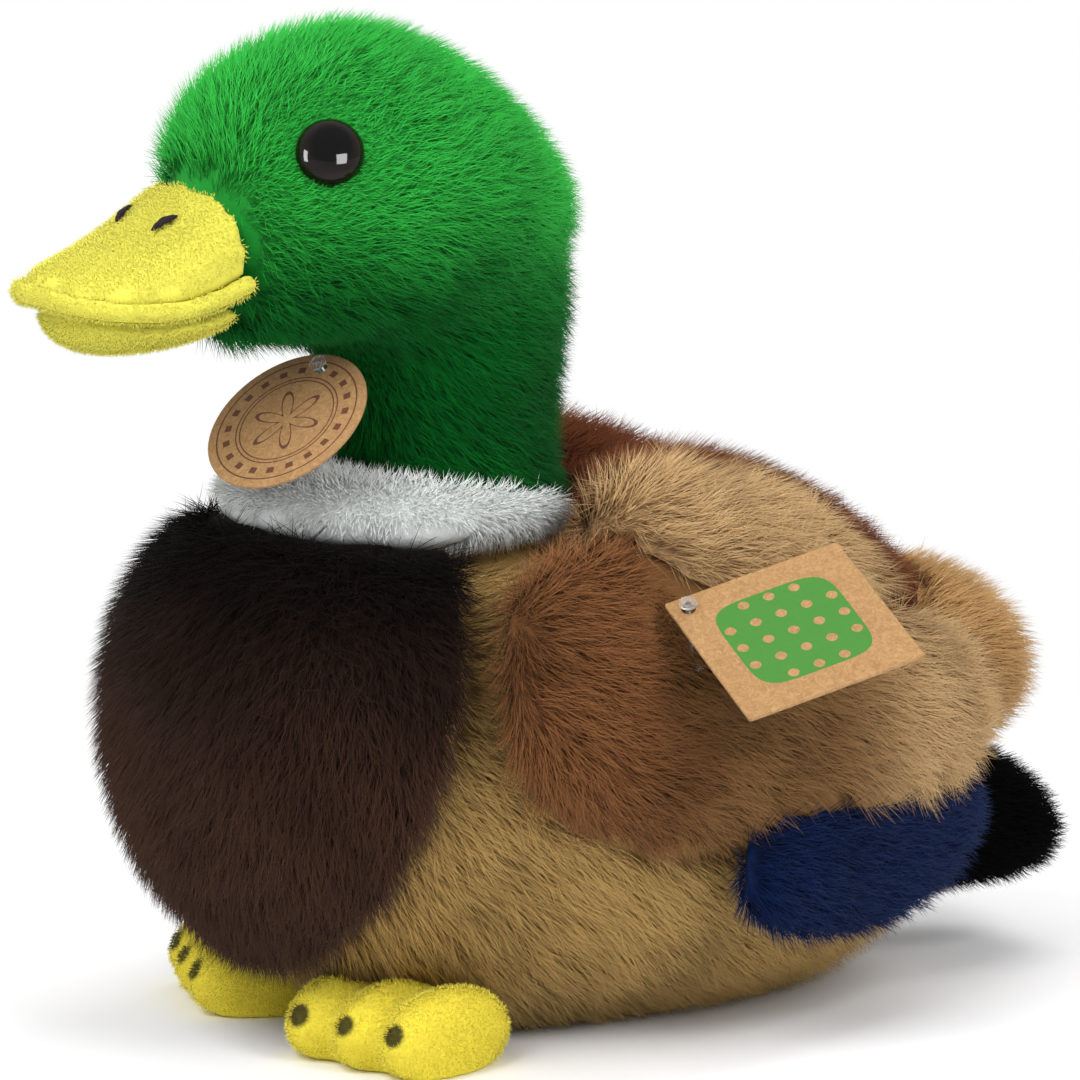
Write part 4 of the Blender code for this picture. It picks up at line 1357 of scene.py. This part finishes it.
@dataclass
class Studio:
    """The camera, the pale floor and the soft lamps."""

    azimuth: float = 60.0
    elevation: float = 10.0
    distance: float = 1.3
    view_width: float = 0.209
    target: Point = (0.0, 0.0, 0.091)
    world_light: float = 0.62
    lamp_distance: float = 0.9
    window_elevation: float = 8.0
    window_height: float = 0.42
    floor_reach: float = 6.0
    floor_fade: tuple[float, float] = (0.10, 0.34)

    def _aim(self, obj: bpy.types.Object, azimuth: float, elevation: float,
             distance: float) -> None:
        """Places an object round the toy, facing the target.

        Args:
            obj: The camera or lamp.
            azimuth: Its place round the toy, in degrees.
            elevation: Its height, in degrees.
            distance: How far it stands from the target.
        """
        turn, rise = math.radians(azimuth), math.radians(elevation)
        away = Vector((math.sin(turn) * math.cos(rise), -math.cos(turn) * math.cos(rise),
                       math.sin(rise)))
        obj.location = Vector(self.target) + away * distance
        obj.rotation_mode = "QUATERNION"
        obj.rotation_quaternion = (-away).to_track_quat("-Z", "Y")

    def camera(self) -> None:
        """Makes the scene's camera at the photograph's viewing angle."""
        data = bpy.data.cameras.new("camera")
        data.sensor_width = 36.0
        data.lens = data.sensor_width * self.distance / self.view_width
        data.clip_start, data.clip_end = 0.05, 20.0
        camera = linked("camera", data)
        self._aim(camera, self.azimuth, self.elevation, self.distance)
        bpy.context.scene.camera = camera

    def floor(self) -> None:
        """Makes the floor: lit near the toy, and fading to the white backdrop further out."""
        mesh = bpy.data.meshes.new("floor")
        reach = self.floor_reach
        mesh.from_pydata([(-reach, -reach, 0.0), (reach, -reach, 0.0), (reach, reach, 0.0),
                          (-reach, reach, 0.0)], [], [(0, 1, 2, 3)])
        floor = linked("floor", mesh)
        made, board, shader = new_material("floor_white")
        board.feed(shader, {"Base Color": (0.93, 0.93, 0.94, 1.0), "Roughness": 0.9,
                            "Specular IOR Level": 0.1})
        place = board.add("ShaderNodeTexCoord").outputs["Object"]
        away = board.add("ShaderNodeVectorMath", {0: place}, operation="LENGTH").outputs["Value"]
        far = board.ramp(away, *self.floor_fade)
        seen = board.add("ShaderNodeLightPath").outputs
        rays = board.math("MAXIMUM", seen["Is Camera Ray"],
                          board.math("MAXIMUM", seen["Is Glossy Ray"],
                                     seen["Is Transmission Ray"]))
        glow = board.add("ShaderNodeEmission", {"Strength": 1.0})
        mixed = board.add("ShaderNodeMixShader", {0: board.math("MULTIPLY", far, rays),
                                                  1: shader.outputs[0], 2: glow.outputs[0]})
        board.feed(made.node_tree.nodes["Material Output"], {"Surface": mixed.outputs[0]})
        floor.data.materials.append(made)

    def lamps(self) -> None:
        """Makes the white world, three large soft lamps and two windows for the gloss."""
        world = bpy.data.worlds.new("studio")
        world.use_nodes = True
        bpy.context.scene.world = world
        board = NodeBoard(world.node_tree)
        seen = board.add("ShaderNodeLightPath").outputs
        strength = board.math("ADD", board.math("MULTIPLY", seen["Is Camera Ray"],
                                                1.0 - self.world_light), self.world_light)
        board.feed(world.node_tree.nodes["Background"],
                   {"Color": (1.0, 1.0, 1.0, 1.0), "Strength": strength})
        for name, azimuth, elevation, size, power in (
                ("key", 20.0, 48.0, (0.5, 0.5), 5.5), ("side", 105.0, 35.0, (0.4, 0.4), 3.2),
                ("rim", 200.0, 55.0, (0.5, 0.5), 3.0)):
            self._lamp(name, azimuth, elevation, size, power).visible_glossy = False
        for name, azimuth, width, power in (("left_window", -10.0, 0.26, 9.0),
                                            ("right_window", 94.0, 0.46, 16.0)):
            self._lamp(name, azimuth, self.window_elevation, (width, self.window_height),
                       power).visible_diffuse = False

    def _lamp(self, name: str, azimuth: float, elevation: float, size: tuple[float, float],
              power: float) -> bpy.types.Object:
        """Makes one area lamp that faces the toy.

        Args:
            name: Its name.
            azimuth: Its place round the toy, in degrees.
            elevation: Its height, in degrees.
            size: Its width and height, in metres.
            power: Its power, in watts.

        Returns:
            The lamp.
        """
        data = bpy.data.lights.new(name, "AREA")
        data.shape = "RECTANGLE"
        data.size, data.size_y = size
        data.energy = power
        lamp = linked(name, data)
        self._aim(lamp, azimuth, elevation, self.lamp_distance)
        return lamp


# Pile finishes: each root colour is darker than its tip partly by dye and partly as painted shade
# deep in the pile.
GREEN = PlushFinish("green", linear(10, 105, 35), linear(62, 205, 79), mottle=0.55,
                    mottle_scale=45.0,
                    # This zone is painted shade: darker roots and tips on the lower head and neck,
                    # fading in from 0.168 m down to 0.138 m height.
                    zones=(Zone(linear(1, 58, 16), linear(8, 126, 42), (0.0, 0.0, -1.0),
                                -0.168, -0.138),))
WHITE = PlushFinish("white", linear(216, 222, 220), linear(250, 252, 250), streak=0.88)
DARK_BROWN = PlushFinish("dark_brown", linear(36, 22, 16), linear(88, 61, 47), mottle=0.6,
                         zones=(Zone(linear(4, 2, 2), linear(14, 9, 7), (0.0, 0.0, 1.0),
                                     0.055, 0.098),))
TAN = PlushFinish("tan", linear(134, 100, 54), linear(226, 188, 118), mottle=0.85,
                  mottle_scale=50.0)
RUMP_TAN = PlushFinish("rump_tan", linear(134, 92, 53), linear(212, 170, 113), mottle=0.6)
RED_BROWN = PlushFinish("red_brown", linear(56, 22, 8), linear(98, 46, 16))
RUST = PlushFinish("rust", linear(92, 62, 36), linear(162, 121, 74), mottle=0.85,
                   mottle_scale=36.0,
                   zones=(Zone(linear(84, 50, 28), linear(158, 106, 64), (0.0, -1.0, 0.0),
                               -0.012, 0.020),
                          Zone(linear(156, 120, 78), linear(226, 190, 138), (0.0, 1.0, 0.0),
                               0.026, 0.060)))
BLUE = PlushFinish("blue", linear(4, 16, 46), linear(14, 38, 86))
BLACK = PlushFinish("black", linear(1, 1, 1), linear(8, 8, 9), sheen=0.0)
YELLOW = PlushFinish("yellow", linear(212, 204, 66), linear(240, 236, 118), streak=0.88,
                     strand_change=0.12)


def light_tan(sign: float) -> PlushFinish:
    """The pale plush of one upper wing, which is red-brown on its inner side.

    Args:
        sign: +1 for the left wing, -1 for the right one.

    Returns:
        The finish.
    """
    inner = Zone(linear(64, 30, 16), linear(116, 64, 36), (-sign, 0.0, 0.0), -0.040, -0.030)
    side = "left" if sign > 0.0 else "right"
    return PlushFinish(f"{side}_light_tan", linear(152, 113, 72), linear(222, 188, 137),
                       mottle=0.6, mottle_scale=45.0, zones=(inner,))


def toe_spots(side: str) -> tuple[Spot, ...]:
    """The dark spots on the toes of one foot, on the front of its surface.

    Args:
        side: "left" or "right".

    Returns:
        Three spots, from the inner toe to the outer one.
    """
    sign = 1.0 if side == "left" else -1.0
    ahead = Vector((sign * math.sin(FOOT_YAW), -math.cos(FOOT_YAW), 0.0))
    outward = Vector((sign * math.cos(FOOT_YAW), math.sin(FOOT_YAW), 0.0))
    centre = Vector((sign * FOOT_CENTRE[0], FOOT_CENTRE[1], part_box(f"{side}_foot")[1].z / 2.0))
    view = (ahead + Vector((0.0, 0.0, 0.35))).normalized()
    surface = node_tree(f"{side}_foot")
    spots = []
    for step in (-1.0, 0.0, 1.0):
        aim = centre + ahead * TOE_REACH + outward * (step * TOE_SPREAD)
        place = surface.ray_cast(aim + view * 0.05, -view)[0]
        spots.append(Spot(tuple(place), SPOT_RADIUS))
    return tuple(spots)


def yellow_foot(side: str) -> PlushFinish:
    """The yellow plush of one foot, with its three toe spots."""
    return replace(YELLOW, name=f"yellow_{side}_foot", root=linear(236, 216, 56),
                   tip=linear(255, 244, 104), spots=toe_spots(side))


@dataclass
class Drake:
    """The whole toy: its covers, eyes, nostrils and cards."""

    strand: float = 0.00008
    nap_strand: float = 0.00007
    long_pile: float = 0.0085
    beak_base: Point = (0.0, -0.074, 0.150)
    neck_low: Point = (0.0, -0.024, 0.104)
    neck_high: Point = (0.0, -0.024, 0.134)
    pile: Pile = field(default_factory=Pile)
    neighbours: Neighbours = field(default_factory=Neighbours)

    def covers(self) -> list[Cover]:
        """Lists every stuffed cover with its finish and its pile."""
        long, strand = self.long_pile, self.strand
        made = [
            Cover("green_cover", ("head", "neck"), "head", "green_plush", GREEN,
                  Cut(0.0068, strand, 4.8e6, (0.0, 0.10, -0.25), Lie.RADIAL, self.beak_base,
                      lift=27.0, seed=11, coats=2),
                  fills=("left_eye", "right_eye", "left_eye_washer", "right_eye_washer"),
                  stretch=0.006, blend=("body", "head", self.neck_low, self.neck_high)),
            Cover("collar_cover", ("collar",), "body", "white_plush", WHITE,
                  Cut(0.0034, strand, 6.5e6, (0.0, 0.0, -1.0), lift=44.0, tangle=0.8, seed=12),
                  inset=0.0019, voxel=0.0015),
            Cover("breast_cover", ("breast",), "body", "dark_brown_plush", DARK_BROWN,
                  Cut(long, strand, 4.4e6, (0.0, 0.10, -1.0), seed=13)),
            Cover("body_cover", ("body",), "body", "tan_plush", TAN,
                  Cut(long, strand, 4.0e6, (0.0, 0.9, -0.75), seed=14, coats=2)),
            Cover("back_cover", ("back_panel",), "body", "red_brown_plush", RED_BROWN,
                  Cut(long, strand, 4.4e6, (0.0, 1.0, -0.2), seed=15)),
            Cover("rump_cover", ("rump",), "body", "tan_plush", RUMP_TAN,
                  Cut(long, strand, 4.6e6, (0.0, 1.0, -0.3), seed=16)),
            Cover("tail_cover", ("tail",), "body", "black_plush", BLACK,
                  Cut(0.0065, strand, 4.6e6, (0.0, 1.0, -0.3), seed=17)),
        ]
        for side, sign in (("left", 1.0), ("right", -1.0)):
            made += self._wing(side, sign)
            made.append(Cover(f"{side}_foot_cover", (f"{side}_foot",), "body", "yellow_plush",
                              yellow_foot(side), self._nap(20 + int(sign)), inset=0.0004,
                              voxel=0.0010, rounding=2, fill=0.7))
        for number, (node, voxel) in enumerate((("upper_beak", 0.0010), ("beak_rim", 0.0007),
                                                ("lower_beak", 0.0010))):
            made.append(Cover(f"{node}_cover", (node,), "head", "yellow_plush", YELLOW,
                              self._nap(30 + number), inset=0.0003, voxel=voxel, rounding=4,
                              fill=0.7))
        return made

    def _nap(self, seed: int) -> Cut:
        """The very short pile of the beak and feet."""
        return Cut(0.0011, self.nap_strand, 5.5e6, (0.0, -0.5, -0.2), lift=48.0, bend=2.0,
                   tangle=0.9, tuft=0.4, seed=seed)

    def _wing(self, side: str, sign: float) -> list[Cover]:
        """The three covers of one wing.

        Args:
            side: "left" or "right".
            sign: +1 for the left wing, -1 for the right one.

        Returns:
            The covers.
        """
        body = f"{side}_wing"
        seed = 40 + int(sign)
        return [
            Cover(f"{body}_side_cover", (f"{body}_side",), body, "rust_plush", RUST,
                  Cut(self.long_pile, self.strand, 4.9e6, (0.0, 0.75, -0.55), tuft=0.6,
                      seed=seed)),
            Cover(f"{body}_top_cover", (f"{body}_top",), body, "light_tan_plush",
                  light_tan(sign), Cut(self.long_pile, self.strand, 4.9e6,
                                       (sign * 0.35, 0.8, -0.1), tuft=0.6, seed=seed + 3)),
            Cover(f"{side}_speculum_cover", (f"{side}_speculum",), body, "blue_plush", BLUE,
                  Cut(0.0060, self.strand, 4.8e6, (0.0, 1.0, -0.35), seed=seed + 6),
                  inset=0.0025, voxel=0.0016),
        ]

    def build(self) -> None:
        """Builds every piece and reports it."""
        for cover in self.covers():
            cover.build(self.pile, self.neighbours)
        for side in ("left", "right"):
            Eye(side).build()
            Nostril(side).build()
        Card("round_tag", "round_tag_swing", 0.033, 0.033, 0.0165, Print.RINGS,
             linear(92, 52, 40)).build()
        Card("square_tag", "square_tag_swing", 0.036, 0.036, 0.0006, Print.PANEL,
             linear(52, 126, 48)).build()
        self._bag()
        self._hard_pieces()

    def _bag(self) -> None:
        """Builds the woven pellet bag inside the body."""
        finish = PlushFinish("bag", linear(200, 200, 196), linear(226, 226, 222), streak=0.85)
        bag = Cover("pellet_bag_cloth", ("pellet_bag",), "body", "bag_cloth", finish, None,
                    inset=0.0004, voxel=0.0018, fill=0.6)
        bag.build(self.pile, self.neighbours)

    def _hard_pieces(self) -> None:
        """Gives the washers and pins, which keep their solids, their plastic."""
        washer = PlasticFinish("washer_plastic", (0.80, 0.80, 0.78), 0.5).material()
        pin = PlasticFinish("pin_plastic", (0.86, 0.86, 0.86), 0.22, clear=0.92).material()
        for node, finish in (("left_eye_washer", washer), ("right_eye_washer", washer),
                             ("round_tag_fastener", pin), ("square_tag_fastener", pin)):
            frame["nodes"][node].data.materials.clear()
            frame["nodes"][node].data.materials.append(finish)
            LOG.info("%s: keeps its solid", node)


def main() -> None:
    """Builds the studio and the toy."""
    logging.basicConfig(level=logging.INFO, format="%(name)s: %(message)s")
    bpy.context.scene.view_settings.view_transform = "Standard"
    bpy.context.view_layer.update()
    studio = Studio()
    studio.camera()
    studio.floor()
    studio.lamps()
    Drake().build()


if __name__ == "__main__":
    main()
